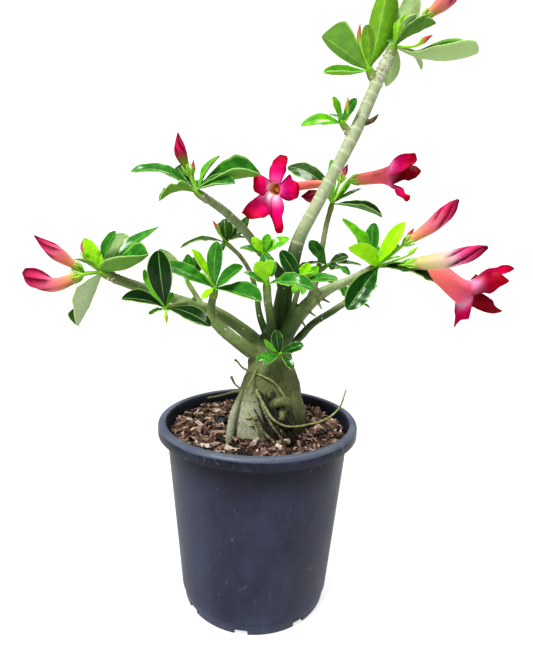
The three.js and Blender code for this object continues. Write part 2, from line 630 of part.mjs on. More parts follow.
// An open flower: a flaring hollow tube with five petals round its mouth.
function bloom({ axis, looks, radius, petals }) {
  const [base, middle, mouth] = axis.map(point);
  const facing = point(looks).normalize();
  const path = [base, middle, mouth.clone().addScaledVector(facing, -radius * 0.8), mouth];
  const { tubeProfile, tubeWall, throatFrom, petalRoot } = FLOWER;
  const tube = (inset) => ringsAlong(path, tubeProfile.length - 1, SIDES.tube,
    (t) => radius * readOff(tubeProfile, t) - inset);
  const parts = [loft([...tube(0), ...tube(tubeWall).slice(throatFrom).reverse()])];
  for (const [x, y, z, width, face] of petals) {
    const tip = point([x, y, z]);
    const reach = tip.clone().sub(mouth);
    const out = reach.addScaledVector(facing, -reach.dot(facing)).normalize();
    const root = mouth.clone().addScaledVector(out, radius - tubeWall).addScaledVector(facing, -petalRoot);
    parts.push(blade(root, tip, width, face, PETAL.bow, PETAL.foldDegrees, PETAL));
  }
  return joined(parts);
}

// The whole woody plant: swollen base, branches and roots, grown as one piece.
function wood(extra) {
  const levels = CAUDEX.map(([x, y, z, halfWidth, halfDepth]) => {
    const middle = new THREE.Vector3(x, y, z);
    const across = new THREE.Vector3(1, 0, 0);
    const deep = new THREE.Vector3(0, (halfDepth + extra) / (halfWidth + extra), 0);
    return ring(middle, across, deep, () => halfWidth + extra, SIDES.caudex);
  });
  const branchSides = (stops) => (limbEnd(stops).radius < THIN_BRANCH ? SIDES.thinBranch : SIDES.branch);
  return joined([
    loft(levels),
    ...LOBES.map((stops) => limb(stops, SIDES.lobe, extra)),
    ...Object.values(BRANCHES).map((stops) => limb(stops, branchSides(stops), extra)),
    ...STUBS.map((stops) => limb(stops, SIDES.stub, extra)),
    ...ROOTS.map((stops) => limb(stops, SIDES.root, extra)),
  ]);
}

function turned(points, segments) {
  const profile = points.map(([radius, height]) => new THREE.Vector2(radius, height));
  return new THREE.LatheGeometry(profile, segments).rotateX(Math.PI / 2);
}

// Radius of the pot's outer wall at a height.
function wallRadius(height) {
  const share = (height - POT.footHeight) / (POT.height - POT.lipHeight - POT.footHeight);
  return THREE.MathUtils.lerp(POT.wallFootRadius, POT.wallTopRadius, share);
}

function pot() {
  const { height, lipRadius, lipHeight, mouthRadius, footRadius, footHeight, wall, floor } = POT;
  const lipFoot = height - lipHeight;
  const crown = height - wall - 0.6;
  const shell = solidOf(turned([
    [0, 0],
    [footRadius - 0.6, 0],
    [footRadius, 1],
    [footRadius + 1.1, footHeight],
    [POT.wallFootRadius, footHeight + 0.8],
    [wallRadius(lipFoot), lipFoot],
    [mouthRadius + wall, crown],
    [lipRadius - wall, crown],
    [lipRadius - wall, lipFoot],
    [lipRadius, lipFoot],
    [lipRadius, height - 3.2],
    [lipRadius - 1.1, height - 0.9],
    [lipRadius - 3.2, height],
    [mouthRadius + 1.6, height],
    [mouthRadius, height - 1.4],
    [wallRadius(lipFoot) - wall, lipFoot + 1],
    [wallRadius(footHeight) - wall, footHeight + 1],
    [footRadius - wall - 3, floor],
    [0, floor],
  ], POT.segments));
  const reach = footRadius + 6 - DRAIN.innerRadius;
  const cutters = Array.from({ length: DRAIN.count }, (_, k) => {
    const slot = new THREE.BoxGeometry(DRAIN.width, reach, DRAIN.height * 2);
    slot.translate(0, -DRAIN.innerRadius - reach / 2, 0);
    slot.rotateZ(THREE.MathUtils.degToRad(DRAIN.firstDegrees + (360 / DRAIN.count) * k));
    return solidOf(slot);
  });
  return shell.subtract(joined(cutters));
}

// One flat angular chip of bark, lying loosely in the surface.
function chip(place, draw) {
  const length = SOIL.chipLength * (0.55 + 0.6 * draw());
  const thickness = SOIL.chipThickness * (0.7 + 0.6 * draw());
  const geometry = new THREE.BoxGeometry(length, length * (0.35 + 0.35 * draw()), thickness);
  const position = geometry.attributes.position;
  const seen = new Map();
  for (let i = 0; i < position.count; i++) {
    const key = [0, 1, 2].map((k) => Math.sign(position.getComponent(i, k))).join();
    if (!seen.has(key)) seen.set(key, [0, 1, 2].map(() => 1 + 0.45 * (draw() - 0.5)));
    seen.get(key).forEach((scale, k) => position.setComponent(i, k, position.getComponent(i, k) * scale));
  }
  geometry.rotateX(0.7 * (draw() - 0.5)).rotateY(0.7 * (draw() - 0.5)).rotateZ(Math.PI * draw());
  return solidOf(geometry.translate(place.x, place.y, place.z));
}

// Potting mix of bark chips, with holes for all that grows out of it.
function soil() {
  const draw = randomSource(SOIL.seed);
  const edge = wallRadius(SOIL.level) - POT.wall - 0.8;
  const heightAt = (x, y) => SOIL.level + SOIL.relief * (Math.sin(x * 0.11 + 1) * Math.cos(y * 0.13) + 0.3);
  const circle = (radius, height) => Array.from({ length: SOIL.sectors }, (_, k) => {
    const angle = (2 * Math.PI * k) / SOIL.sectors;
    const [x, y] = [radius * Math.cos(angle), radius * Math.sin(angle)];
    return new THREE.Vector3(x, y, height ?? heightAt(x, y));
  });
  const rings = [
    circle(46, POT.floor + GAP),
    circle(49, DRAIN.height + 2),
    circle(wallRadius(16) - POT.wall - 1.2, 17),
    ...Array.from({ length: SOIL.rings }, (_, i) => circle(edge * (1 - (i / SOIL.rings) * 0.95))),
  ];
  const chips = Array.from({ length: SOIL.chips }, () => {
    const distance = (edge - 9) * Math.sqrt(0.14 + 0.86 * draw());
    const angle = 2 * Math.PI * draw();
    const [x, y] = [distance * Math.cos(angle), distance * Math.sin(angle)];
    return chip(new THREE.Vector3(x, y, heightAt(x, y) + 0.6), draw);
  });
  return joined([loft(rings), ...chips]).subtract(wood(GAP));
}

// The largest body of a solid, without loose scraps.
function largestBody(solid) {
  return solid.decompose().reduce((best, body) => (body.volume() > best.volume() ? body : best));
}

function meshOf(name, solid, { color, roughness }) {
  const { vertProperties, triVerts } = largestBody(solid.simplify(FINEST)).getMesh();
  const geometry = new THREE.BufferGeometry();
  geometry.setAttribute("position", new THREE.BufferAttribute(vertProperties, 3));
  geometry.setIndex([...triVerts]);
  geometry.computeVertexNormals();
  const mesh = new THREE.Mesh(geometry, new THREE.MeshStandardMaterial({ color, roughness, metalness: 0 }));
  mesh.name = name;
  return mesh;
}

const plant = new THREE.Group();
plant.name = "potted_desert_rose";
plant.add(meshOf("pot", pot(), FINISHES.pot));
plant.add(meshOf("soil", soil(), FINISHES.soil));
plant.add(meshOf("wood", wood(0), FINISHES.bark));
const draw = randomSource(FAN.seed);
for (const name of Object.keys(SPRAYS)) {
  plant.add(meshOf(name, spray(name, draw), FINISHES.leaf));
}
for (const [name, form] of Object.entries(BUDS)) {
  plant.add(meshOf(name, bud(form), FINISHES.petal));
}
for (const [name, form] of Object.entries(BLOOMS)) {
  plant.add(meshOf(name, bloom(form), FINISHES.petal));
}

export default plant;
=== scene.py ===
"""Looks of a desert rose in a black nursery pot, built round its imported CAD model.

Lengths in the tables are millimetres in the CAD frame: +Z is up, the plant is looked at from -Y, and the
origin is the middle of the pot's underside. Meshes are written in metres.
"""

import logging
import math
import random
from collections.abc import Callable, Iterator, Sequence
from contextlib import contextmanager
from dataclasses import dataclass, field
from enum import Enum

import bpy
import numpy as np
from mathutils import Matrix, Vector, noise


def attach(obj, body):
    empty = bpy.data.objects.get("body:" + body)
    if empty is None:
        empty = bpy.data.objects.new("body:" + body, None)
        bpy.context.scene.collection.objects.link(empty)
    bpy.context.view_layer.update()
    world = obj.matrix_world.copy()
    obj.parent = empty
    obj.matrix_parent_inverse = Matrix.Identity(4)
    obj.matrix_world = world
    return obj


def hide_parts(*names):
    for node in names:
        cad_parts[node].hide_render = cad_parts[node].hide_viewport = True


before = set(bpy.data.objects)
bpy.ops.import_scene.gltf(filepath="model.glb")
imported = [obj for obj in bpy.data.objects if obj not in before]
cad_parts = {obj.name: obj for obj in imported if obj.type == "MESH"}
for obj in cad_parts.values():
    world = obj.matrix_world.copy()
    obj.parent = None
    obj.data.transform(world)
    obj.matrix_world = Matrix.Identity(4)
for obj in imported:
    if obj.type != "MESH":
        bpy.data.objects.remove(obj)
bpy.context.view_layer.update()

LOG = logging.getLogger("desert_rose")
MM = 0.001
BODY = "root"
SMOOTH_DEGREES = 50.0
WELD_MM = 0.01
TIP_SHARE = 0.97
TIP_WIDTH = 0.03

Array = np.ndarray
Piece = bpy.types.Object
Material = bpy.types.Material
Socket = bpy.types.NodeSocket
Inputs = dict[str | int, object]
Stops = Sequence[tuple[float, str]]
Point = tuple[float, float, float]
Axis = tuple[Point, Point, Point]
Stop = tuple[float, float, float, float]
Edges = tuple[Point, ...]


def linear(colour: str) -> Stop:
    """Turns a hex colour into the linear one that a shader takes.

    Args:
        colour: The colour as "#rrggbb".

    Returns:
        Red, green, blue and an alpha of 1.
    """
    channels = [int(colour[i : i + 2], 16) / 255 for i in (1, 3, 5)]
    red, green, blue = (c / 12.92 if c <= 0.04045 else ((c + 0.055) / 1.055) ** 2.4 for c in channels)
    return red, green, blue, 1.0


def unit(vector: Sequence[float] | Array) -> Array:
    """A vector's direction, with a length of 1."""
    array = np.asarray(vector, float)
    return array / np.linalg.norm(array)


def eased(values: Array | float, low: float, high: float) -> Array:
    """A smooth step from 0 at low to 1 at high."""
    share = np.clip((np.asarray(values, float) - low) / (high - low), 0, 1)
    return share * share * (3 - 2 * share)


def repeating_draw(seed: int) -> Iterator[float]:
    """Numbers from 0 to 1, the same ones that the CAD source draws from a seed.

    Args:
        seed: The seed of the series.

    Yields:
        The next number of the series.
    """
    state = seed * 7919
    while True:
        state = (state * 1664525 + 1013904223) % 4294967296
        yield state / 4294967296


def smooth_line(stops: Sequence[Sequence[float]], per_span: int) -> Array:
    """Samples a centripetal Catmull-Rom line through stops. A fourth value, the radius, is carried along.

    Args:
        stops: The points that the line goes through.
        per_span: How many samples each span gets.

    Returns:
        One row for each sample.
    """
    given = np.asarray(stops, float)
    points = np.vstack([2 * given[0] - given[1], given, 2 * given[-1] - given[-2]])
    rows = [given[0]]
    for i in range(len(given) - 1):
        before, start, end, after = points[i : i + 4]
        gaps = [max(np.linalg.norm(b[:3] - a[:3]) ** 0.5, 1e-4) for a, b in
                ((before, start), (start, end), (end, after))]
        leave = (start - before) / gaps[0] - (end - before) / (gaps[0] + gaps[1]) + (end - start) / gaps[1]
        arrive = (end - start) / gaps[1] - (after - start) / (gaps[1] + gaps[2]) + (after - end) / gaps[2]
        leave, arrive = leave * gaps[1], arrive * gaps[1]
        for t in np.linspace(0, 1, per_span + 1)[1:]:
            bend = (2 * t**3 - 3 * t**2 + 1) * start + (t**3 - 2 * t**2 + t) * leave
            row = bend + (3 * t**2 - 2 * t**3) * end + (t**3 - t**2) * arrive
            row[3:] = (start + (end - start) * t)[3:]
            rows.append(row)
    return np.array(rows)


def crowded(count: int, power: float = 1.35) -> Array:
    """Shares from 0 to 1 that lie closer together towards 1."""
    return 1 - (1 - np.linspace(0, 1, count)) ** power


def read_along(share: Array, profile: Sequence[float] | Array) -> Array:
    """The values of an evenly spaced profile, at shares of its length."""
    return np.interp(share, np.linspace(0, 1, len(profile)), profile)


def steps_of(line: Array) -> Array:
    """How long each step between two samples of a line is."""
    return np.linalg.norm(np.diff(line[:, :3], axis=0), axis=1)


def evened(line: Array, count: int) -> Array:
    """Spaces a line's samples evenly.

    Args:
        line: Samples with x, y and z first.
        count: How many samples to return.

    Returns:
        The new samples.
    """
    run = np.concatenate([[0], np.cumsum(steps_of(line))])
    places = np.linspace(0, run[-1], count)
    return np.column_stack([np.interp(places, run, line[:, k]) for k in range(line.shape[1])])


def frames_along(line: Array) -> tuple[Array, Array, Array]:
    """Directions along a line that don't twist.

    Args:
        line: Samples with x, y and z first.

    Returns:
        The tangents, and two directions across each, so that first x second is the tangent.
    """
    tangents = np.gradient(line[:, :3], axis=0)
    tangents /= np.linalg.norm(tangents, axis=1)[:, None]
    first = unit(np.cross(tangents[0], [0.1, 0.2, 1]))
    firsts = []
    for tangent in tangents:
        first = unit(first - tangent * np.dot(first, tangent))
        firsts.append(first)
    across = np.array(firsts)
    return tangents, across, np.cross(tangents, across)


class Tone(Enum):
    """A leaf's age and light, as its youth and its dullness."""

    DEEP = (0.0, 0.0)
    DARK = (0.22, 0.0)
    MID = (0.45, 0.0)
    FRESH = (0.68, 0.0)
    LIME = (1.0, 0.0)
    OLIVE = (0.3, 0.85)
    SAGE = (0.6, 0.7)
    PALE = (0.6, 1.4)


DEEP, DARK, MID, FRESH, LIME, OLIVE, SAGE, PALE = Tone


class Slot(Enum):
    """The record's material slots."""

    POT = "pot"
    MIX = "potting_mix"
    STEM = "stem"
    LEAF = "leaf"
    FLOWER = "flower"


def feed(node: bpy.types.Node, inputs: Inputs) -> None:
    """Gives a node its inputs.

    Args:
        node: The node.
        inputs: For each socket a value, or another node's output.
    """
    for key, value in inputs.items():
        if isinstance(value, Socket):
            node.id_data.links.new(value, node.inputs[key])
        else:
            node.inputs[key].default_value = value


def add_node(tree: bpy.types.NodeTree, kind: str, inputs: Inputs | None = None, stops: Stops = (),
             **settings: object) -> bpy.types.Node:
    """Adds a node with its settings, its colour stops and its inputs.

    Args:
        tree: The tree that gets the node.
        kind: Blender's name for the kind of node.
        inputs: What goes into each socket.
        stops: Places and hex colours, where the node is a colour ramp.
        **settings: The node's own settings.

    Returns:
        The node.
    """
    made = tree.nodes.new(kind)
    for name, value in settings.items():
        setattr(made, name, value)
    if stops:
        elements = made.color_ramp.elements
        while len(elements) < len(stops):
            elements.new(0.5)
        for element, (place, colour) in zip(elements, stops):
            element.position = place
            element.color = linear(colour)
    feed(made, inputs or {})
    return made


class Graph:
    """A new material's nodes, with a short method for each kind that the finishes use."""

    def __init__(self, name: str) -> None:
        """Starts a material.

        Args:
            name: The material's name.
        """
        self.material = bpy.data.materials.new(name)
        self.material.use_nodes = True
        self.tree = self.material.node_tree
        spot = add_node(self.tree, "ShaderNodeTexCoord").outputs
        self.place = spot["Object"]
        self.map = spot["UV"]

    def split(self, vector: Socket) -> bpy.types.bpy_prop_collection:
        """The three parts of a vector."""
        return add_node(self.tree, "ShaderNodeSeparateXYZ", {0: vector}).outputs

    def stretched(self, *scale: float) -> Socket:
        """The place, with each axis scaled."""
        return add_node(self.tree, "ShaderNodeMapping", {"Vector": self.place, "Scale": scale}).outputs[0]

    def mark(self, name: str) -> Socket:
        """A value that the mesh holds for each of its points."""
        return add_node(self.tree, "ShaderNodeAttribute", attribute_name=name).outputs["Fac"]

    def noise(self, size_mm: float, detail: float, vector: Socket | None = None, **more: float) -> Socket:
        """Noise in patches of a real size.

        Args:
            size_mm: How wide a patch is.
            detail: How many finer layers lie in it.
            vector: Where it is read, if not at the plain place.
            **more: The noise's other inputs.

        Returns:
            The noise, from 0 to 1.
        """
        at = self.place if vector is None else vector
        inputs = {"Vector": at, "Scale": 1 / (size_mm * MM), "Detail": detail, **more}
        return add_node(self.tree, "ShaderNodeTexNoise", inputs).outputs["Fac"]

    def math(self, operation: str, *values: Socket | float, clamp: bool = False) -> Socket:
        """A sum with one to three values, kept between 0 and 1 if it is to be clamped."""
        return add_node(self.tree, "ShaderNodeMath", dict(enumerate(values)), operation=operation,
                        use_clamp=clamp).outputs[0]

    def ranged(self, value: Socket, start: float, end: float, low: float = 0.0, high: Socket | float = 1.0,
               smooth: bool = False) -> Socket:
        """Maps the values between two ends onto a range.

        Args:
            value: The value.
            start: The end that becomes low.
            end: The end that becomes high.
            low: The result at the start and before it.
            high: The result at the end and past it.
            smooth: Whether the range eases in and out.

        Returns:
            The mapped value.
        """
        inputs = {"Value": value, "From Min": start, "From Max": end, "To Min": low, "To Max": high}
        return add_node(self.tree, "ShaderNodeMapRange", inputs,
                        interpolation_type="SMOOTHSTEP" if smooth else "LINEAR").outputs[0]

    def band(self, value: Socket, start_mm: float, end_mm: float, high: float = 1.0,
             smooth: bool = True) -> Socket:
        """Rises from 0 to high between two places that are given in millimetres."""
        return self.ranged(value, start_mm * MM, end_mm * MM, 0.0, high, smooth)

    def mixed(self, share: Socket, below: Socket | str, above: Socket | str) -> Socket:
        """Mixes two colours.

        Args:
            share: The share of the colour above.
            below: The colour below, an output or a hex colour.
            above: The colour above, given in the same way.

        Returns:
            The mixed colour.
        """
        colours = (linear(colour) if isinstance(colour, str) else colour for colour in (below, above))
        return add_node(self.tree, "ShaderNodeMix", {0: share, **dict(zip((6, 7), colours))},
                        data_type="RGBA").outputs[2]

    def ramp(self, share: Socket, stops: Stops) -> Socket:
        """The colour at a share of the way through some stops."""
        return add_node(self.tree, "ShaderNodeValToRGB", {"Fac": share}, stops=stops).outputs["Color"]

    def finished(self, colour: Socket, relief: tuple[Socket, float, float], settings: Inputs) -> Material:
        """Links the colour and the relief to the shader, and sets its other sockets.

        Args:
            colour: The base colour.
            relief: The height, how strong it looks, and how deep it is in millimetres.
            settings: The shader's other sockets.

        Returns:
            The material.
        """
        height, strength, depth = relief
        bump = add_node(self.tree, "ShaderNodeBump", {
            "Height": height, "Strength": strength, "Distance": depth * MM,
        })
        shader = self.tree.nodes["Principled BSDF"]
        feed(shader, {"Base Color": colour, "Normal": bump.outputs[0], **settings})
        return self.material


@dataclass(frozen=True)
class MouldedPolypropylene:
    """Injection-moulded polypropylene. It has a satin skin, scuffed and dusty from the nursery bench."""

    colour: str = "#242637"
    faded: str = "#3c4258"
    # Painted shadow that the lip casts on the wall below it.
    lip_shadow: str = "#0a0e20"
    # Painted shade on the outer face of the lip.
    face: str = "#0e1422"
    # Painted highlight on the lip's upturned top edge.
    bevel: str = "#606773"
    # Painted shade on the inner wall, inside the mouth above the mix.
    inside: str = "#15171f"
    dust: str = "#8f96a8"
    specular: float = 0.3
    roughness: float = 0.42
    ior: float = 1.46
    stain_mm: float = 34.0
    scuff_mm: float = 7.0
    speck_mm: float = 2.2
    grain_mm: float = 0.8
    rim_height: float = 153.0
    bevel_height: float = 161.0
    mouth_radius: float = 81.6

    def material(self) -> Material:
        """Builds the material. The rim and the foot are more worn than the wall.

        Returns:
            The material.
        """
        graph = Graph("moulded polypropylene")
        height = graph.split(graph.place)["Z"]
        rim = self.rim_height
        upper = graph.band(height, rim - 6, rim + 9)
        worn = graph.math("MAXIMUM", upper, graph.band(height, 26, 2))
        drawn_out = graph.stretched(1, 1, 0.55)
        stain = graph.noise(self.stain_mm, 7, drawn_out, Roughness=0.65)
        plain = graph.ramp(graph.math("MULTIPLY_ADD", worn, 0.2, stain),
                           ((0.38, self.colour), (0.8, self.faded)))
        # Painted shadow of the lip: the wall darkens towards the rim, just under the lip.
        lip_shadow_share = graph.math("MULTIPLY", graph.band(height, rim - 34, rim, 0.85),
                               graph.math("SUBTRACT", 1.0, upper))
        # Painted light on the lip: its outer face is painted dark as shade, and its upturned top edge pale as
        # a highlight, along a border that wavers with the stains.
        wavering = graph.math("MULTIPLY_ADD", stain, 3 * MM, height)
        lit_rim_top = graph.band(wavering, self.bevel_height + 0.9, self.bevel_height + 2.4)
        on_rim = graph.math("MULTIPLY", graph.band(height, rim + 0.5, rim + 1.3, smooth=False),
                            graph.ranged(stain, 0.42, 0.66, 0.92, 0.4))
        rimmed = graph.mixed(on_rim, graph.mixed(lip_shadow_share, plain, self.lip_shadow),
                             graph.mixed(lit_rim_top, self.face, self.bevel))
        # Painted shade: inside the mouth, the inner wall above the mix is darkened.
        off_axis = add_node(graph.tree, "ShaderNodeVectorMath", {0: graph.stretched(1, 1, 0)},
                            operation="LENGTH").outputs["Value"]
        within = graph.band(off_axis, self.mouth_radius, self.mouth_radius - 1.2, 0.8, smooth=False)
        body = graph.mixed(graph.math("MULTIPLY", within, upper), rimmed, self.inside)
        scuff = graph.noise(self.scuff_mm, 9, drawn_out, Distortion=1.2)
        worn_scuff = graph.math("MULTIPLY_ADD", worn, 0.055, scuff)
        marks = graph.ranged(worn_scuff, 0.64, 0.84, 0.0, 0.34, smooth=True)
        dots = graph.ranged(graph.noise(self.speck_mm, 4), 0.7, 0.8, 0.0, 0.2)
        colour = graph.mixed(graph.math("MAXIMUM", marks, dots), body, self.dust)
        rough = graph.ranged(stain, 0.3, 0.75, self.roughness - 0.08, self.roughness + 0.14)
        return graph.finished(colour, (graph.noise(self.grain_mm, 3), 0.12, 0.2), {
            "Roughness": rough, "IOR": self.ior, "Specular IOR Level": self.specular,
        })


@dataclass(frozen=True)
class PineBark:
    """Shredded pine bark. It is rough and matt, from near black to tan where freshly broken."""

    colours: Stops = (
        (0.0, "#0e0906"), (0.28, "#2e1f17"), (0.48, "#664a3c"), (0.66, "#927666"), (0.84, "#bca695"),
        (1.0, "#d8cabb"),
    )
    roughness: float = 0.85
    fibre_mm: float = 1.1
    blotch_mm: float = 5.0

    def material(self) -> Material:
        """Builds the material. The attribute "tint" gives each chip its own place among the colours.

        Returns:
            The material.
        """
        graph = Graph("pine bark")
        blotch = graph.noise(self.blotch_mm, 8, Roughness=0.75)
        centred = graph.math("MULTIPLY_ADD", blotch, 1.1, -0.55)
        colour = graph.ramp(graph.math("ADD", graph.mark("tint"), centred, clamp=True), self.colours)
        fibre = graph.noise(self.fibre_mm, 5, Roughness=0.7)
        return graph.finished(colour, (fibre, 0.8, 0.9), {"Roughness": self.roughness})


@dataclass(frozen=True)
class StemSkin:
    """Living succulent bark. It is smooth and waxy, green under a grey bloom, corky where it is old."""

    young: str = "#b6c29a"
    grown: str = "#74874f"
    old: str = "#6b7248"
    shaded: str = "#34421b"
    # Painted shade between the limbs.
    crotch_shade: str = "#2b4917"
    speck: str = "#e2e8cc"
    ring: str = "#d5d8b8"
    cork: str = "#92967a"
    cork_line: str = "#d2d6bc"
    pale_height: tuple[float, float] = (258.0, 325.0)
    old_height: tuple[float, float] = (240.0, 205.0)
    blotch_mm: float = 11.0
    grain_mm: float = 1.3
    speck_mm: float = 7.0
    cork_mm: float = 3.6
    roughness: float = 0.46
    specular: float = 0.3

    def material(self) -> Material:
        """Builds the material.

        The attribute "cork" is 1 where the skin is corky, "shade" is 1 where painted shade darkens it between
        the limbs, "bloom" is 1 where the pale wax lies thickly, and "ring" is 1 on a ring scar.

        Returns:
            The material.
        """
        graph = Graph("succulent stem skin")
        height = graph.split(graph.place)["Z"]
        aged = graph.band(height, *self.old_height, smooth=False)
        bloomed = graph.band(height, *self.pale_height, smooth=False)
        pale = graph.math("MULTIPLY", bloomed, graph.mark("bloom"))
        mottled = graph.ranged(graph.noise(self.blotch_mm, 7, Roughness=0.7), 0.3, 0.7, -0.4, 0.4)
        waxy = graph.math("ADD", pale, mottled, clamp=True)
        skin = graph.mixed(aged, graph.mixed(waxy, self.grown, self.young), self.old)
        grain = graph.noise(self.grain_mm, 5, graph.stretched(1, 1, 0.22), Roughness=0.6)
        dark_line = graph.ranged(grain, 0.52, 0.34, 0.0, graph.ranged(aged, 0.0, 1.0, 0.22, 0.75))
        grained = graph.mixed(dark_line, graph.mixed(graph.mark("shade"), skin, self.crotch_shade), self.shaded)
        cell = add_node(graph.tree, "ShaderNodeTexVoronoi", {
            "Vector": graph.place, "Scale": 1 / (self.speck_mm * MM),
        }).outputs
        lot = add_node(graph.tree, "ShaderNodeSeparateColor", {0: cell["Color"]}).outputs[0]
        dot = graph.math("MULTIPLY", graph.ranged(cell["Distance"], 0.13, 0.06),
                         graph.math("GREATER_THAN", lot, 0.45))
        above = graph.math("SUBTRACT", 1.0, aged)
        dotted = graph.mixed(graph.math("MULTIPLY", dot, above), grained, self.speck)
        specked = graph.mixed(graph.math("MULTIPLY", graph.mark("ring"), waxy), dotted, self.ring)
        crackle = graph.noise(self.cork_mm, 7, Roughness=0.7, Distortion=1.6)
        off_line = graph.math("ABSOLUTE", graph.math("SUBTRACT", crackle, 0.5))
        cork_line = graph.ranged(off_line, 0.0, 0.05, 1.0, 0.0)
        pitted = graph.mixed(graph.ranged(crackle, 0.42, 0.3, 0.0, 0.7), self.cork, self.shaded)
        corky = graph.mixed(cork_line, pitted, self.cork_line)
        cork = graph.mark("cork")
        cork_mix = graph.math("MULTIPLY", graph.math("ADD", cork, mottled, clamp=True), cork)
        relief = graph.math("MULTIPLY_ADD", cork_line, cork_mix, grain)
        return graph.finished(graph.mixed(cork_mix, specked, corky), (relief, 0.5, 0.7), {
            "Roughness": self.roughness, "Specular IOR Level": self.specular,
        })


@dataclass(frozen=True)
class PlainSkin:
    """A dry or corky bit of the plant in one colour with a mottled surface, such as a scar or an old root."""

    name: str
    colour: str
    shade: str
    roughness: float = 0.7
    blotch_mm: float = 2.5

    def material(self) -> Material:
        """Builds the material.

        Returns:
            The material.
        """
        graph = Graph(self.name)
        blotch = graph.noise(self.blotch_mm, 5)
        colour = graph.ramp(blotch, ((0.35, self.shade), (0.65, self.colour)))
        return graph.finished(colour, (blotch, 0.4, 0.4), {"Roughness": self.roughness})


@dataclass(frozen=True)
class LeafSkin:
    """A living leaf's skin. The upper side has a glossy wax coat, and the under side is pale and matt."""

    name: str
    colours: Stops
    veined: str
    edge: str
    dull: str
    roughness: float
    coat: float
    vein_share: float
    rib_share: float
    margin_share: float = 0.6
    blush: str = "#c01848"
    veins: float = 13.0
    vein_sweep: float = 3.4
    mottle_mm: float = 6.0
    quilt_mm: float = 4.5
    pore_mm: float = 0.5
    specular: float = 0.08
    coat_ior: float = 1.5
    coat_roughness: float = 0.17

    def material(self) -> Material:
        """Builds the material. It reads the leaf's own map, and its youth, dullness and blush.

        Returns:
            The material.
        """
        graph = Graph(self.name)
        sheet = graph.split(graph.map)
        side = graph.math("ABSOLUTE", graph.math("MULTIPLY_ADD", sheet["X"], 2.0, -1.0))
        rib = graph.ranged(side, 0.012, 0.06, 1.0, 0.0, smooth=True)
        margin = graph.ranged(side, 0.88, 0.97, smooth=True)
        mottle = graph.noise(self.mottle_mm, 5)
        strayed = graph.math("MULTIPLY_ADD", mottle, 1.6, graph.math("MULTIPLY", sheet["Y"], self.veins))
        sweep = graph.math("MULTIPLY_ADD", side, -self.vein_sweep, strayed)
        vein = graph.ranged(graph.math("PINGPONG", sweep, 0.5), 0.0, 0.12, 1.0, 0.0, smooth=True)
        spread = graph.ranged(mottle, 0.3, 0.7, -0.11, 0.11)
        green = graph.ramp(graph.math("ADD", graph.mark("youth"), spread, clamp=True), self.colours)
        # On the upper side the dull colour is painted shade that darkens leaves lying behind; on the under
        # side it greys the green towards pale sage.
        dull_share = graph.math("MULTIPLY", graph.mark("dull"), 0.75, clamp=True)
        grey = graph.mixed(dull_share, green, self.dull)
        veined = graph.mixed(graph.math("MULTIPLY", vein, self.vein_share), grey, self.veined)
        pale = graph.math("MAXIMUM", graph.math("MULTIPLY", rib, self.rib_share),
                          graph.math("MULTIPLY", margin, self.margin_share))
        colour = graph.mixed(graph.mark("blush"), graph.mixed(pale, veined, self.edge), self.blush)
        raised = graph.math("MULTIPLY_ADD", graph.noise(self.quilt_mm, 2), 16.0, graph.noise(self.pore_mm, 2))
        sunk = graph.math("MULTIPLY_ADD", vein, -1.6, raised)
        return graph.finished(colour, (sunk, 0.5, 0.07), {
            "Roughness": self.roughness, "Specular IOR Level": self.specular, "Coat Weight": self.coat,
            "Coat IOR": self.coat_ior, "Coat Roughness": self.coat_roughness,
        })


@dataclass(frozen=True)
class SoftSkin:
    """The soft skin of petals and young shoots, with colour that runs from foot to tip."""

    name: str
    colours: Stops
    edge: str
    deep: str
    under: str = "#dba35c"
    pale: str = "#ffecf8"
    edge_share: float = 0.85
    roughness: float = 0.55
    specular: float = 0.07
    streak_mm: float = 2.0

    def material(self) -> Material:
        """Builds the material.

        "run" goes from 0 at the foot to 1 at the tip, "rim" is 1 on the edge, "deep" is 1 where the colour
        is darkest, "bleach" is 1 where it is nearly white, and "under" is 1 on the side that hangs down.

        Returns:
            The material.
        """
        graph = Graph(self.name)
        streak = graph.noise(self.streak_mm, 4)
        shifted = graph.math("MULTIPLY_ADD", streak, 0.12, graph.mark("run"))
        body = graph.ramp(graph.math("ADD", shifted, -0.06, clamp=True), self.colours)
        lit = graph.mixed(graph.mark("under"), body, self.under)
        ragged = graph.math("MULTIPLY_ADD", streak, 0.4, graph.mark("rim"))
        edged = graph.mixed(graph.ranged(ragged, 0.2, 1.2, 0.0, self.edge_share), lit, self.edge)
        darkened = graph.mixed(graph.mark("deep"), edged, self.deep)
        colour = graph.mixed(graph.mark("bleach"), darkened, self.pale)
        return graph.finished(colour, (streak, 0.25, 0.5), {
            "Roughness": self.roughness, "Specular IOR Level": self.specular,
        })


def placed(name: str, data: bpy.types.ID) -> Piece:
    """Links a new object to the scene.

    Args:
        name: The object's name.
        data: Its mesh, curve, light or camera.

    Returns:
        The object.
    """
    made = bpy.data.objects.new(name, data)
    bpy.context.scene.collection.objects.link(made)
    return made


def added(add: Callable[..., object], **settings: object) -> Piece:
    """Adds one of Blender's plain shapes.

    Args:
        add: The operator that adds it.
        **settings: The operator's settings.

    Returns:
        The new object.
    """
    bpy.ops.object.select_all(action="DESELECT")
    add(**settings)
    return bpy.context.object


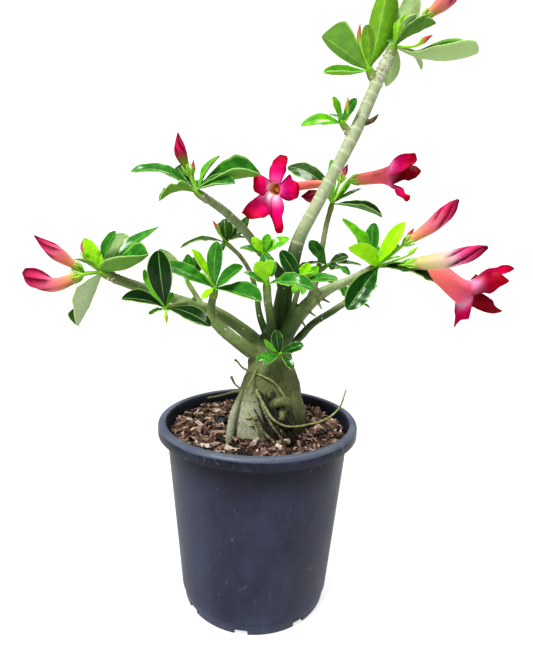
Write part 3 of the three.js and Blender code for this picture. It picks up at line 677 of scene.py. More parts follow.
class Palette:
    """Every finish of the plant and its pot, each made once."""

    def __init__(self) -> None:
        """Builds the materials."""
        self.pot = MouldedPolypropylene().material()
        self.bark = PineBark().material()
        self.stem = StemSkin().material()
        self.scar = PlainSkin("leaf scar", "#e2d8ce", "#8f876c").material()
        self.dry = PlainSkin("dry bud scale", "#6b5f2c", "#3b2f1a").material()
        self.old_root = PlainSkin("old dark root", "#3c3626", "#100d08").material()
        self.root = PlainSkin("aerial root", "#9aa06c", "#626a3c").material()
        self.grey_root = PlainSkin("old grey root", "#86805e", "#2e2a1a").material()
        self.stopper = PlainSkin("black rubber stopper", "#1b1c20", "#101114", roughness=0.5).material()
        # The upper side's dull colour is painted shade for leaves lying behind.
        self.leaf_top = LeafSkin(
            "waxy upper side of a leaf",
            ((0.0, "#0a3204"), (0.22, "#114508"), (0.45, "#367f25"), (0.7, "#66b618"), (1.0, "#a6ee02")),
            veined="#4f9a3c", edge="#a6d868", dull="#33481c", roughness=0.45, coat=0.42, vein_share=0.1,
            rib_share=0.6,
        ).material()
        self.leaf_under = LeafSkin(
            "pale under side of a leaf",
            ((0.0, "#55783a"), (0.4, "#6b9a42"), (0.7, "#7ab02c"), (1.0, "#a0e01a")),
            veined="#94b868", edge="#c0e48c", dull="#cfe2b2", roughness=0.55, coat=0.05, vein_share=0.2,
            rib_share=0.35,
        ).material()
        self.shoot = SoftSkin(
            "skin of a young shoot",
            ((0.0, "#96a36c"), (0.35, "#8a9c58"), (0.6, "#6f9a34"), (1.0, "#7cc016")),
            edge="#5d6f34", deep="#4b4a26", edge_share=0.5,
        ).material()
        self.petal_inner = SoftSkin(
            "velvety inner side of a petal",
            ((0.0, "#8a5a1c"), (0.3, "#dc9c4a"), (0.42, "#e0aa60"), (0.49, "#e2b080"), (0.53, "#f04ca8"),
             (0.62, "#f80e98"), (0.78, "#f40874"), (0.91, "#d80448"), (1.0, "#ae0024")),
            edge="#9e001a", deep="#7c000c",
        ).material()
        self.petal_outer = SoftSkin(
            "soft outer side of a petal",
            ((0.0, "#d8cf6a"), (0.05, "#f2a47c"), (0.16, "#fa8078"), (0.4, "#f6727a"), (0.49, "#f2648a"),
             (0.56, "#e83a94"), (0.66, "#e01280"), (0.78, "#cc0656"), (0.92, "#a80028")),
            edge="#a20020", deep="#840010",
        ).material()
        self.bud_salmon = SoftSkin(
            "furled petals, salmon",
            ((0.0, "#c0c858"), (0.1, "#dca868"), (0.28, "#e28874"), (0.5, "#e27088"), (0.74, "#cc3064"),
             (1.0, "#880a30")),
            edge="#6a0624", deep="#400416",
        ).material()
        self.bud_cream = SoftSkin(
            "furled petals, cream",
            ((0.0, "#b2c04c"), (0.15, "#cfc084"), (0.4, "#dabfa0"), (0.54, "#e6b0bc"), (0.64, "#dc5c90"),
             (0.8, "#d02c68"), (1.0, "#780626")),
            edge="#5a001e", deep="#36000e", under="#cfc07c", edge_share=1.0,
        ).material()
        self.bud_green = SoftSkin(
            "furled petals, green at the foot",
            ((0.0, "#86a22c"), (0.3, "#74782a"), (0.44, "#9c3444"), (0.6, "#d01454"), (1.0, "#8e0a30")),
            edge="#400610", deep="#400416", under="#5e6820",
        ).material()


@dataclass
class Workshop:
    """The plain tools and the finishes that every piece is made with."""

    palette: Palette

    @staticmethod
    def only(shown: Piece) -> None:
        """Selects one object and makes it active.

        Args:
            shown: The object.
        """
        bpy.ops.object.select_all(action="DESELECT")
        shown.select_set(True)
        bpy.context.view_layer.objects.active = shown

    @contextmanager
    def editing(self, shown: Piece) -> Iterator[None]:
        """Holds one object in edit mode, with all of it selected at first.

        Args:
            shown: The object.

        Yields:
            Nothing. The object is held meanwhile.
        """
        self.only(shown)
        bpy.ops.object.mode_set(mode="EDIT")
        bpy.ops.mesh.select_all(action="SELECT")
        yield
        bpy.ops.object.mode_set(mode="OBJECT")

    @staticmethod
    def fill_ends() -> None:
        """Closes the open ends of the mesh that is being edited."""
        bpy.ops.mesh.select_all(action="DESELECT")
        bpy.ops.mesh.select_mode(type="EDGE")
        bpy.ops.mesh.select_non_manifold(extend=False)
        bpy.ops.mesh.edge_face_add()

    @staticmethod
    def shaped(mesh: bpy.types.Mesh, points: Array) -> None:
        """Moves a mesh's points to places in millimetres."""
        mesh.vertices.foreach_set("co", (points * MM).astype(np.float32).ravel())
        mesh.update()

    @staticmethod
    def dressed(shown: Piece, *materials: Material) -> Piece:
        """Gives an object its materials.

        Args:
            shown: The object.
            *materials: The materials in their order.

        Returns:
            The object.
        """
        for material in materials:
            shown.data.materials.append(material)
        return shown

    def sheet(self, name: str, points: Array) -> Piece:
        """Shapes a flat grid into a sheet.

        Args:
            name: The object's name.
            points: The sheet's points in millimetres, as rows along it of points across it.

        Returns:
            The sheet, with a map that is 0 to 1 across and along it.
        """
        rows, columns = points.shape[:2]
        made = added(bpy.ops.mesh.primitive_grid_add, x_subdivisions=columns - 1, y_subdivisions=rows - 1,
                     calc_uvs=True)
        made.name = name
        self.shaped(made.data, points)
        return made

    def welded(self, shown: Piece, close: bool = False) -> None:
        """Merges the points of a mesh that lie in the same place.

        Args:
            shown: The object.
            close: Whether its open ends are filled.
        """
        with self.editing(shown):
            bpy.ops.mesh.remove_doubles(threshold=WELD_MM * MM)
            if close:
                self.fill_ends()

    def tubes(self, name: str, lines: Sequence[Array], sides: int) -> Piece:
        """Makes round limbs along lines, as one mesh.

        Args:
            name: The object's name.
            lines: For each limb, samples of x, y, z and radius in millimetres.
            sides: How many sides each limb has.

        Returns:
            The limbs.
        """
        curve = bpy.data.curves.new(name, "CURVE")
        curve.dimensions = "3D"
        curve.bevel_depth = MM
        curve.bevel_resolution = max((sides - 4) // 2, 0)
        curve.use_fill_caps = True
        for line in lines:
            spline = curve.splines.new("POLY")
            spline.points.add(len(line) - 1)
            places = np.column_stack([line[:, :3] * MM, np.ones(len(line))])
            spline.points.foreach_set("co", places.ravel())
            spline.points.foreach_set("radius", line[:, 3])
        made = placed(name, curve)
        self.only(made)
        bpy.ops.object.convert(target="MESH")
        return bpy.context.object

    def applied(self, shown: Piece, kind: str, **settings: object) -> Piece:
        """Adds a modifier with its settings and applies it.

        Args:
            shown: The object that it works on.
            kind: Blender's name for the kind of modifier.
            **settings: The modifier's own settings.

        Returns:
            The object.
        """
        modifier = shown.modifiers.new(kind.lower(), kind)
        for name, value in settings.items():
            setattr(modifier, name, value)
        self.only(shown)
        bpy.ops.object.modifier_apply(modifier=modifier.name)
        return shown

    def joined(self, name: str, parts: Sequence[Piece]) -> Piece:
        """Joins objects into one.

        Args:
            name: The name of the joined object.
            parts: The objects. The first one stays.

        Returns:
            The joined object.
        """
        self.only(parts[0])
        for part in parts[1:]:
            part.select_set(True)
        if len(parts) > 1:
            bpy.ops.object.join()
        parts[0].name = name
        parts[0].data.name = name
        return parts[0]

    @staticmethod
    def marked(shown: Piece, **values: float | Array) -> Piece:
        """Stores a value for each point, which a material reads by its name.

        Args:
            shown: The object.
            **values: For each name one number, or one for each point.

        Returns:
            The object.
        """
        count = len(shown.data.vertices)
        for name, value in values.items():
            attribute = shown.data.attributes.new(name, "FLOAT", "POINT")
            attribute.data.foreach_set("value", np.broadcast_to(np.ravel(value), count).astype(np.float32))
        return shown

    @staticmethod
    def coordinates(shown: Piece) -> Array:
        """Reads the object's points in millimetres.

        Args:
            shown: The object.

        Returns:
            One row for each point.
        """
        flat = np.zeros(len(shown.data.vertices) * 3, np.float32)
        shown.data.vertices.foreach_get("co", flat)
        return flat.reshape(-1, 3).astype(float) / MM

    def finished(self, shown: Piece, slot: Slot, nodes: Sequence[str] = ()) -> None:
        """Smooths a piece, seats it on its body and hides the CAD nodes that it stands for.

        Args:
            shown: The finished piece.
            slot: The record's slot for its material. It is not used.
            nodes: The CAD nodes that it stands for.
        """
        self.only(shown)
        bpy.ops.object.shade_smooth_by_angle(angle=math.radians(SMOOTH_DEGREES))
        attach(shown, BODY)
        if nodes:
            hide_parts(*nodes)
        LOG.info("%s: %d faces", shown.name, len(shown.data.polygons))


@dataclass
class NurseryPot(Workshop):
    """The thin round pot with its turned-down lip, its foot and its drain notches."""

    height: float = 164.0
    lip_radius: float = 87.5
    lip_height: float = 10.0
    mouth_radius: float = 80.4
    wall_top_radius: float = 79.9
    wall_foot_radius: float = 66.8
    foot_radius: float = 64.3
    foot_height: float = 11.0
    collar_height: float = 147.0
    collar_depth: float = 1.4
    wall: float = 1.8
    floor: float = 2.5
    drains: int = 8
    drain_width: float = 11.0
    drain_height: float = 4.2
    drain_inner_radius: float = 52.0
    first_drain_degrees: float = -8.0
    steps: int = 144

    def wall_radius(self, height: float) -> float:
        """Radius of the outer wall at a height."""
        share = (height - self.foot_height) / (self.height - self.lip_height - self.foot_height)
        return self.wall_foot_radius + (self.wall_top_radius - self.wall_foot_radius) * share

    def profile(self) -> list[tuple[float, float]]:
        """The half section from the middle of the underside, round the lip, to the middle of the floor.

        Returns:
            Radius and height of each point.
        """
        top = self.height
        lip = self.lip_radius
        lip_foot = top - self.lip_height
        mouth = self.mouth_radius
        crown = top - self.wall - 0.6
        foot = self.foot_height
        collar = self.wall_radius(self.collar_height)
        return [
            (self.foot_radius - 0.6, 0), (self.foot_radius, 1), (self.foot_radius + 1.1, foot),
            (self.wall_foot_radius, foot + 0.8), (self.wall_foot_radius + 0.05, foot + 2.2),
            (collar, self.collar_height), (collar + self.collar_depth, self.collar_height + 0.8),
            (self.wall_radius(lip_foot) + self.collar_depth, lip_foot), (mouth + self.wall, crown),
            (lip - self.wall, crown), (lip - self.wall, lip_foot), (lip - 0.3, lip_foot),
            (lip, lip_foot + 0.4), (lip, top - 3.2), (lip - 0.35, top - 1.8), (lip - 1.1, top - 0.8),
            (lip - 2.1, top - 0.2), (lip - 3.2, top), (mouth + 1.6, top), (mouth + 0.5, top - 0.4),
            (mouth, top - 1.4), (self.wall_radius(lip_foot) - self.wall, lip_foot + 1),
            (self.wall_radius(foot) - self.wall, foot + 1), (self.foot_radius - self.wall - 3, self.floor),
        ]

    def spun(self, name: str, profile: Sequence[tuple[float, float]], steps: int) -> Piece:
        """Spins a half section round the pot's axis.

        Args:
            name: The object's name.
            profile: Radius and height of each point, from bottom to top outside and down inside.
            steps: How many steps the full turn has.

        Returns:
            The turned shell, closed at both ends.
        """
        mesh = bpy.data.meshes.new(name)
        places = [(radius * MM, 0, height * MM) for radius, height in profile]
        mesh.from_pydata(places, [(i, i + 1) for i in range(len(places) - 1)], [])
        shell = placed(name, mesh)
        with self.editing(shell):
            bpy.ops.mesh.spin(steps=steps, angle=2 * math.pi, center=(0, 0, 0), axis=(0, 0, 1))
            bpy.ops.mesh.select_all(action="SELECT")
            bpy.ops.mesh.remove_doubles(threshold=2 * WELD_MM * MM)
            self.fill_ends()
            bpy.ops.mesh.select_all(action="SELECT")
            bpy.ops.mesh.normals_make_consistent(inside=False)
        return shell

    def build(self) -> None:
        """Makes the pot and cuts its drain notches."""
        shell = self.spun("pot_shell", self.profile(), self.steps)
        reach = self.foot_radius + 6 - self.drain_inner_radius
        for k in range(self.drains):
            turn = math.radians(self.first_drain_degrees + 360 / self.drains * k)
            middle = -(self.drain_inner_radius + reach / 2)
            cutter = added(
                bpy.ops.mesh.primitive_cube_add,
                size=1,
                location=(-middle * math.sin(turn) * MM, middle * math.cos(turn) * MM, 0),
                rotation=(0, 0, turn),
                scale=(self.drain_width * MM, reach * MM, self.drain_height * 2 * MM),
            )
            self.applied(cutter, "BEVEL", width=0.8 * MM, segments=2)
            self.applied(shell, "BOOLEAN", object=cutter, operation="DIFFERENCE", solver="EXACT")
            bpy.data.objects.remove(cutter)
        self.finished(self.dressed(shell, self.palette.pot), Slot.POT, ["pot"])


@dataclass
class BarkMix(Workshop):
    """The potting mix: its body in the pot, and the loose bark chips that cover it."""

    pot: NurseryPot
    level: float = 152.5
    relief: float = 2.2
    clearance: float = 0.8
    chips: int = 2300
    longest: float = 12.0
    shortest: float = 2.0
    kinds: int = 8
    seed: int = 23
    stem_centre: tuple[float, float] = (10.0, -2.0)
    stem_radius: float = 21.0
    stopper: Point = (-34.0, 10.0, 156.0)
    stopper_radius: float = 5.5

    def height_at(self, x: float, y: float) -> float:
        """Height of the mix at a place."""
        return self.level + self.relief * (math.sin(x * 0.11 + 1) * math.cos(y * 0.13) + 0.3)

    def body(self) -> Piece:
        """The mix itself, with a lumpy top.

        Returns:
            The body of the mix.
        """
        edge = self.pot.wall_radius(self.level) - self.pot.wall - self.clearance
        low = self.pot.wall_radius(16) - self.pot.wall - 1.2
        top = [(radius, self.level) for radius in np.arange(edge, 1.5, -1.6)]
        profile = [(46, self.pot.floor + 0.4), (49, self.pot.drain_height + 2), (low, 17), *top]
        made = self.pot.spun("bark_mix", profile, 120)
        points = self.coordinates(made)
        for place in points:
            if place[2] > self.level - 0.5:
                lump = noise.noise(Vector(place) * 0.22) * 1.6 + noise.noise(Vector(place) * 0.6) * 0.8
                place[2] = self.height_at(place[0], place[1]) + lump - 0.8
        self.shaped(made.data, points)
        # Painted shade: the body of the mix takes the near black end of the bark colours, as the shade in the
        # gaps between the chips.
        return self.dressed(self.marked(made, tint=0.06), self.palette.bark)

    def chip_kinds(self, draw: random.Random) -> list[bpy.types.Mesh]:
        """Models a few angular flakes of bark, one unit long.

        Args:
            draw: Where the chance numbers come from.

        Returns:
            Their meshes.
        """
        kinds = []
        for _ in range(self.kinds):
            flake = added(bpy.ops.mesh.primitive_cube_add, size=1)
            with self.editing(flake):
                bpy.ops.mesh.subdivide(number_cuts=1)
            for vertex in flake.data.vertices:
                vertex.co = [c * (0.78 + 0.5 * draw.random()) for c in vertex.co]
                vertex.co.z += 0.18 * math.sin(vertex.co.x * 3 + draw.random())
            kinds.append(flake.data)
            bpy.data.objects.remove(flake)
        return kinds

    def chip_places(self, draw: random.Random) -> Iterator[Matrix]:
        """Places for the chips, clear of the swollen base.

        Args:
            draw: Where the chance numbers come from.

        Yields:
            The place, turn and size of each chip.
        """
        edge = self.pot.wall_radius(self.level) - self.pot.wall
        made = 0
        while made < self.chips:
            length = self.shortest + (self.longest - self.shortest) * draw.random() ** 2.6
            distance = (edge - length * 0.5) * math.sqrt(draw.random())
            angle = 2 * math.pi * draw.random()
            x, y = distance * math.cos(angle), distance * math.sin(angle)
            if math.hypot(x - self.stem_centre[0], y - self.stem_centre[1]) < self.stem_radius:
                continue
            made += 1
            tilt = Matrix.Rotation(draw.gauss(0, 0.5), 4, "X") @ Matrix.Rotation(draw.gauss(0, 0.42), 4, "Y")
            turn = Matrix.Rotation(2 * math.pi * draw.random(), 4, "Z")
            thick = min(draw.uniform(0.8, 2.6), length * 0.45)
            size = Matrix.Diagonal((length, length * draw.uniform(0.16, 0.55), thick, 1))
            lift = self.height_at(x, y) + draw.uniform(-0.8, 2.4)
            yield Matrix.Translation((x, y, lift)) @ turn @ tilt @ size

    def cover(self) -> Piece:
        """The loose chips that cover the mix.

        Returns:
            The chips as one object.
        """
        draw = random.Random(self.seed)
        kinds = self.chip_kinds(draw)
        flakes = []
        for place in self.chip_places(draw):
            flake = placed("chip", draw.choice(kinds).copy())
            flake.data.transform(Matrix.Scale(MM, 4) @ place)
            self.marked(flake, tint=min(max(draw.gauss(0.49, 0.23), 0.0), 1.0))
            flakes.append(flake)
        cover = self.dressed(self.joined("bark_chips", flakes), self.palette.bark)
        for mesh in kinds:
            bpy.data.meshes.remove(mesh)
        return cover

    def plug(self) -> Piece:
        """A round black stopper that lies in the mix.

        Returns:
            The stopper.
        """
        x, y, z = self.stopper
        radius = self.stopper_radius
        section = [(radius - 1, -2), (radius, -1), (radius, 1.2), (radius - 1, 2), (radius - 2, 1.6),
                   (radius - 2.4, 0.2)]
        made = self.pot.spun("stopper", section, 24)
        lean = Matrix.Rotation(math.radians(24), 4, "X")
        made.data.transform(Matrix.Translation(Vector((x, y, z)) * MM) @ lean)
        return self.marked(self.dressed(made, self.palette.stopper), tint=0.0)

    def build(self) -> None:
        """Makes the mix and its cover."""
        self.finished(self.body(), Slot.MIX, ["soil"])
        self.finished(self.joined("bark_chips", [self.cover(), self.plug()]), Slot.MIX)


CAUDEX: list[Stop] = [
    (10, 2, 124, 12), (10, 1, 142, 18), (10, 0, 156, 20.5), (10, 0, 168, 22), (10.3, 0, 180, 24.2),
    (10.5, -1, 191, 24.6), (10.6, -1, 203, 22.2), (10.8, -1, 215, 18.8), (11, 0, 227, 16.2),
    (13, 0, 240, 10.5),
]
LOBES: list[list[Stop]] = [
    [(-2.5, -1, 218, 8), (0, -1, 205, 11), (-3, -2, 194, 12.2), (-5, -3, 183, 12.2), (-5, -3, 170, 11)],
    [(18.5, -1, 218, 8), (21.5, -1, 205, 11), (24.5, -2, 194, 12), (26.5, -3, 183, 11.5), (27, -3, 170, 11)],
    [(0, -7, 198, 9.5), (-4, -13, 184, 13), (-5, -16, 169, 16.5), (-4.5, -17, 154, 18), (-3, -11, 136, 12)],
    [(22, -6, 196, 9), (27, -9, 183, 11), (30, -10, 170, 12.5), (30, -8, 155, 12), (24, -3, 136, 8)],
    [(12, 8, 197, 10), (16, 14, 182, 12.5), (18, 17, 166, 13), (17, 15, 150, 12.5), (14, 8, 132, 9)],
    [(-1, 5, 192, 9), (-7, 10, 178, 11), (-10, 13, 162, 12), (-8, 10, 140, 9.5)],
]
BRANCHES: dict[str, list[Stop]] = {
    "far_left": [(6, 0, 224, 7), (-18, 3, 244, 5.4), (-39, 2, 257, 4.8), (-57, 0, 263, 4.6),
                 (-74, -3, 268, 4.6), (-94, -8, 275, 4.5), (-117, -14, 283.5, 4.3), (-126, -17, 288, 3.8)],
    "inner_left": [(6, -5, 216, 7), (-17, -14, 233, 5.6), (-32, -18, 246, 5), (-39, -20, 254, 4.2),
                   (-40, -21, 265, 3.4), (-38, -22, 275, 3.1)],
    "back_left": [(-50, 1, 261, 3), (-57, 5, 271, 2.4), (-62, 7, 278, 2.1)],
    "upper_left": [(17, 0, 240, 6.5), (20, 2, 270, 6), (16, -1, 290, 4.8), (7, -6, 302, 4),
                   (-3, -10, 312, 3.8), (-13, -14, 325, 3.6), (-32, -20, 342, 3.5), (-48, -24, 352, 3.2)],
    "behind_left": [(6, 5, 236, 3.6), (-1, 10, 254, 3), (-4, 14, 271, 2.4), (-10, 20, 290, 2.2),
                    (-20, 26, 305, 2.1), (-30, 28, 314, 2)],
    "centre_front": [(11, -8, 232, 5), (9, -16, 254, 4), (6, -25, 270, 3.5), (5, -30, 281, 3.2)],
    "centre_upper": [(8, -16, 256, 3.2), (5, -18, 280, 2.8), (2, -22, 303, 2.4)],
    "right": [(16, -2, 226, 8.5), (27, -8, 250, 7), (38, -10, 265, 6.2), (48, -12, 275, 5.4),
              (61, -13, 283, 3.8), (75, -15, 290, 3.4), (89, -19, 298, 3.2)],
    "low_right": [(20, 2, 220, 4.6), (34, 4, 235, 3.4), (46, 6, 248, 3.2), (61, 8, 258, 3.1),
                  (75, 8, 268, 2.8)],
    "centre_right": [(24, -6, 254, 3), (28, -13, 268, 2.4), (31, -18, 282, 2.2)],
    "tall": [(15, 0, 226, 9), (20, 4, 273, 7.4), (26, 2, 302, 6.4), (31, -2, 322, 5.7), (43, -4, 347, 5.3),
             (54, -5, 369, 5.1), (63, -6, 387, 5.2), (71, -6, 404, 5.4), (78, -7, 421, 5.2),
             (86, -8, 441, 4.9), (93, -9, 458, 4.5), (96, -9, 465, 3.8)],
    "behind_stem": [(20, 8, 232, 4.4), (35, 15, 254, 3.2), (48, 21, 281, 2.8), (52, 25, 302, 2.6),
                    (57, 32, 334, 2.5), (61, 36, 350, 2.4)],
    "behind_centre": [(50, 23, 292, 2.2), (55, 17, 297, 2)],
    "top_left": [(88, -8, 440, 4), (82.5, -9, 448, 3.4)],
    "mid_stem": [(71, -6, 402, 4), (64, -8, 409, 2.6)],
    "low_left": [(-64, -1, 265, 3), (-70, -14, 264, 2.6), (-74, -26, 263.5, 2.3)],
    "trunk": [(13, -10, 217, 3.4), (16, -20, 224, 2.4)],
}
THICK_STUBS: list[list[Stop]] = [
    [(46, -12, 273, 4), (44, -17, 283, 2.6), (43, -18, 287, 2)],
    [(-56, 0, 266, 2), (-58, -4, 270, 1.2)],
]
THIN_STUBS: list[list[Stop]] = [
    [(50, -14, 273, 1.4), (57, -17, 270, 0.6)],
    [(47, -16, 271, 1.4), (50, -21, 265, 0.6)],
    [(40, -12, 262, 1.4), (46, -16, 258, 0.6)],
    [(34, -11, 254, 1.4), (38, -16, 249, 0.6)],
]
DRY_BUD: list[Stop] = [(76, -7, 412, 2.2), (85, -9, 415, 2), (89, -10, 419, 0.7)]
THICK_ROOTS: list[list[Stop]] = [
    [(-13, -17, 194, 2), (-19, -27, 179, 3), (-21.5, -30, 167, 3.6), (-23, -32, 153, 3.2),
     (-22, -30, 142, 2.4)],
    [(10, -19, 178, 4), (15, -28, 186, 4.2), (22, -28, 188, 4.6), (28, -23, 180, 5.6), (31, -20, 168, 6.4),
     (30, -17, 152, 5.5)],
    [(18, -18, 175, 3.6), (21, -30, 178, 3.6), (19, -34, 173, 2.6)],
]
THIN_ROOTS: list[list[Stop]] = [
    [(-2, -20, 195, 1.5), (6, -33, 184, 1.6), (13, -37, 175, 1.2), (24, -38, 170, 1), (41, -36, 171, 0.9),
     (57, -32, 175, 0.9), (68, -28, 184, 0.8), (73, -25, 198, 0.6)],
    [(-3, -17, 208, 1), (5, -24, 207, 0.9), (13, -25.5, 203, 1), (19.5, -26.5, 195, 1.2),
     (25, -26, 186, 1.6)],
    [(-2, -17, 211, 0.9), (-9, -29, 199, 0.6)],
    [(-4, -12, 207, 1), (-14, -14, 212, 0.9), (-19, -15, 218, 0.9), (-21, -15, 219, 1.4)],
    [(-10, -12, 190, 1), (-20, -11, 196, 0.8), (-24, -10, 203, 1.3)],
    [(-8, -4, 190, 1.4), (-24, 8, 183, 1.1), (-36, 22, 175, 1), (-50, 38, 167, 0.8)],
    [(-8, -29, 178, 0.9), (-3, -34, 171, 0.9), (1, -37, 163, 0.7)],
    [(-14, -28, 172, 0.6), (-6, -33, 174, 0.7), (0, -34, 178, 0.6)],
    [(-9, -31, 166, 0.6), (-3, -35.5, 169, 0.7)],
]
OLD_ROOTS: list[list[Stop]] = [
    [(1, -24, 190, 1), (5, -31, 181, 1.3), (12, -37, 170, 1.4), (20, -39, 160, 1.2), (24, -38, 150, 1)],
    [(-1, -33, 172, 0.9), (6, -38, 164, 1.3), (15, -42, 156, 1.5), (21, -43, 147, 1.2)],
    [(10, -30, 180, 0.9), (16, -35, 170, 1), (25, -36, 158, 1), (31, -35, 148, 0.8)],
    [(-63, 29, 142, 1), (-58, 33, 153, 1), (-50, 38, 156, 1), (-42, 34, 153, 1), (-37, 28, 142, 1)],
]
FIBRE_PATH: list[Point] = [(5, -25, 190), (12, -32, 177), (19, -36, 164), (25, -37, 151)]


@dataclass
class WoodyPlant(Workshop):
    """The swollen base, the branches and the roots, grown as one."""

    voxel: float = 1.1
    lump_mm: float = 11.0
    lump_height: float = 0.45
    scar_spacing: float = 12.0
    scar_radius: float = 0.9
    scar_limbs: tuple[str, ...] = ("far_left", "inner_left", "upper_left", "right", "tall", "low_right")
    ring_shares: tuple[float, ...] = (0.28, 0.37, 0.46, 0.52, 0.58, 0.63, 0.68, 0.72, 0.76, 0.8, 0.84, 0.87,
                                      0.9, 0.93, 0.96)
    ring_samples: int = 240
    ring_skip: int = 4
    ring_width: float = 0.7
    ring_height: float = 0.3
    crowds: tuple[tuple[str, float, int], ...] = (
        ("tall", 0.9, 38), ("top_left", 0.2, 16), ("right", 0.92, 12), ("upper_left", 0.94, 10),
        ("far_left", 0.93, 10), ("mid_stem", 0.3, 6),
    )
    fibres: int = 84
    fine_samples: int = 3000
    seed: int = 7

    def body(self) -> Piece:
        """The thick limbs, melted together and made lumpy.

        Returns:
            The body of the wood.
        """
        limbs = [CAUDEX, *LOBES, *BRANCHES.values(), *THICK_STUBS, *THICK_ROOTS]
        made = self.tubes("wood_body", [smooth_line(stops, 6) for stops in limbs], 24)
        self.only(made)
        made.data.remesh_voxel_size = self.voxel * MM * 1.0
        bpy.ops.object.voxel_remesh()
        self.applied(made, "SMOOTH", factor=0.5, iterations=4)
        points = self.coordinates(made)
        normals = np.zeros(len(points) * 3, np.float32)
        made.data.vertices.foreach_get("normal", normals)
        normals = normals.reshape(-1, 3)
        heights = np.array([
            noise.noise(Vector(p) / self.lump_mm) + 0.5 * noise.noise(Vector(p) / (self.lump_mm * 0.4))
            for p in points
        ])
        swell = 1 - 0.6 * eased(points[:, 2], 235, 260)
        ring = self.rings_on_stem(points)
        points += normals * (self.lump_height * heights * swell + self.ring_height * ring)[:, None]
        self.shaped(made.data, points)
        x, y, z = points.T
        # Painted shade: the skin darkens near the trunk's middle, between the limbs, and low behind the tall
        # stem.
        middle = 1 - eased(np.hypot(x - 16, y), 14, 32)
        shade = middle * eased(z, 222, 240) * (1 - eased(z, 296, 340))
        behind = eased(y, -2, 4) * eased(x, 20, 28) * (1 - eased(z, 256, 272)) * eased(z, 212, 226)
        low = 1 - eased(z, 178, 198)
        left = 1 - eased(x, 4, 14)
        front = 1 - eased(y, 0, 12)
        bloom = np.maximum(eased(x, 12, 24) * (1 - eased(y, 8, 14)), 0.3)
        cork = low * left * front + 0.08 * low * (1 - left)
        shade = np.maximum(0.9 * shade, 0.75 * behind)
        self.marked(made, ring=ring, shade=shade, cork=cork, bloom=bloom)
        return self.dressed(made, self.palette.stem)

    def limb_bits(self) -> list[Piece]:
        """The thin roots, stubs and old fibres, each group in its own finish.

        Returns:
            One object for each group.
        """
        draw = random.Random(self.seed)
        fibre_lines = []
        for _ in range(self.fibres):
            shift = np.array([draw.gauss(0, 5.5), abs(draw.gauss(0, 2)), draw.gauss(0, 4)])
            path = np.array(FIBRE_PATH, float) + shift
            path += np.array([[draw.gauss(0, 1.4) for _ in range(3)] for _ in path])
            first = draw.choice((0, 0, 1))
            radii = np.linspace(0.75, 0.3, len(path) - first)
            fibre_lines.append(smooth_line(np.column_stack([path[first:], radii]), 4))
        groups = [
            ("thin_roots", [smooth_line(stops, 6) for stops in THIN_ROOTS], 10, self.palette.root),
            ("old_roots", [smooth_line(stops, 6) for stops in OLD_ROOTS], 10, self.palette.grey_root),
            ("thin_stubs", [smooth_line(stops, 3) for stops in THIN_STUBS], 8, self.palette.stem),
            ("dry_bud", [smooth_line(DRY_BUD, 4)], 10, self.palette.dry),
            ("old_fibres", fibre_lines, 6, self.palette.old_root),
        ]
        made = []
        for name, lines, sides, material in groups:
            bits = self.dressed(self.tubes(name, lines, sides), material)
            made.append(self.marked(bits, cork=0.0, ring=0.0, shade=0.0))
        return made

    def rings_on_stem(self, points: Array) -> Array:
        """Finds the ring scars of the tall stem.

        Args:
            points: Points of the wood.

        Returns:
            How far each point lies on a ring, from 0 to 1.
        """
        line = evened(smooth_line(BRANCHES["tall"], 12), self.ring_samples)
        apart = np.linalg.norm(points[:, None, :] - line[None, :: self.ring_skip, :3], axis=2)
        nearest = apart.argmin(axis=1) * self.ring_skip
        length = steps_of(line).sum()
        tangents = frames_along(line)[0]
        along = np.einsum("ij,ij->i", points - line[nearest, :3], tangents[nearest])
        place = nearest / (len(line) - 1) * length + along
        on_stem = 1 - eased(apart.min(axis=1), line[nearest, 3] + 0.8, line[nearest, 3] + 1.8)
        rings = [np.exp(-(((place - share * length) / self.ring_width) ** 2)) for share in self.ring_shares]
        return np.max(rings, axis=0) * on_stem

    def scars(self) -> Piece:
        """Pale leaf scars, in a spiral up each limb and crowded at its end.

        Returns:
            The scars as one object.
        """
        draw = random.Random(self.seed + 1)
        master = added(bpy.ops.mesh.primitive_uv_sphere_add, segments=8, ring_count=6, radius=1)
        made = []
        plans = [(name, 0.0, None) for name in self.scar_limbs] + list(self.crowds)
        for name, first, count in plans:
            line = smooth_line(BRANCHES[name], 12)
            length = steps_of(line).sum()
            if count is None:
                line = evened(line, max(int(length / self.scar_spacing), 2))
            else:
                fine = evened(line, self.fine_samples)
                line = fine[np.linspace(int(first * (len(fine) - 1)), len(fine) - 1, count + 2).astype(int)]
            tangents, across, up = frames_along(line)
            for i in range(1, len(line) - 1):
                turn = 2.4 * i + draw.gauss(0, 0.4)
                out = across[i] * math.cos(turn) + up[i] * math.sin(turn)
                side = np.cross(out, tangents[i])
                size = self.scar_radius * draw.uniform(0.5, 1.2) * (1 if count is None else 1.7)
                stray = draw.gauss(0, 1.5 if count is None else 0.5)
                place = line[i, :3] + out * (line[i, 3] - 0.15) + tangents[i] * stray
                thick = 0.5 if count is None else 0.9
                basis = np.eye(4)
                basis[:3] = np.column_stack([side * size, tangents[i] * size * 0.7, out * thick, place])
                scar = placed("scar", master.data.copy())
                scar.data.transform(Matrix.Scale(MM, 4) @ Matrix(basis.tolist()))
                made.append(scar)
        bpy.data.objects.remove(master)
        scars = self.dressed(self.joined("leaf_scars", made), self.palette.scar)
        return self.marked(scars, cork=0.0, ring=0.0, shade=0.0)

    def build(self) -> None:
        """Makes the woody plant."""
        made = self.joined("woody_plant", [self.body(), *self.limb_bits(), self.scars()])
        self.finished(made, Slot.STEM, ["wood"])


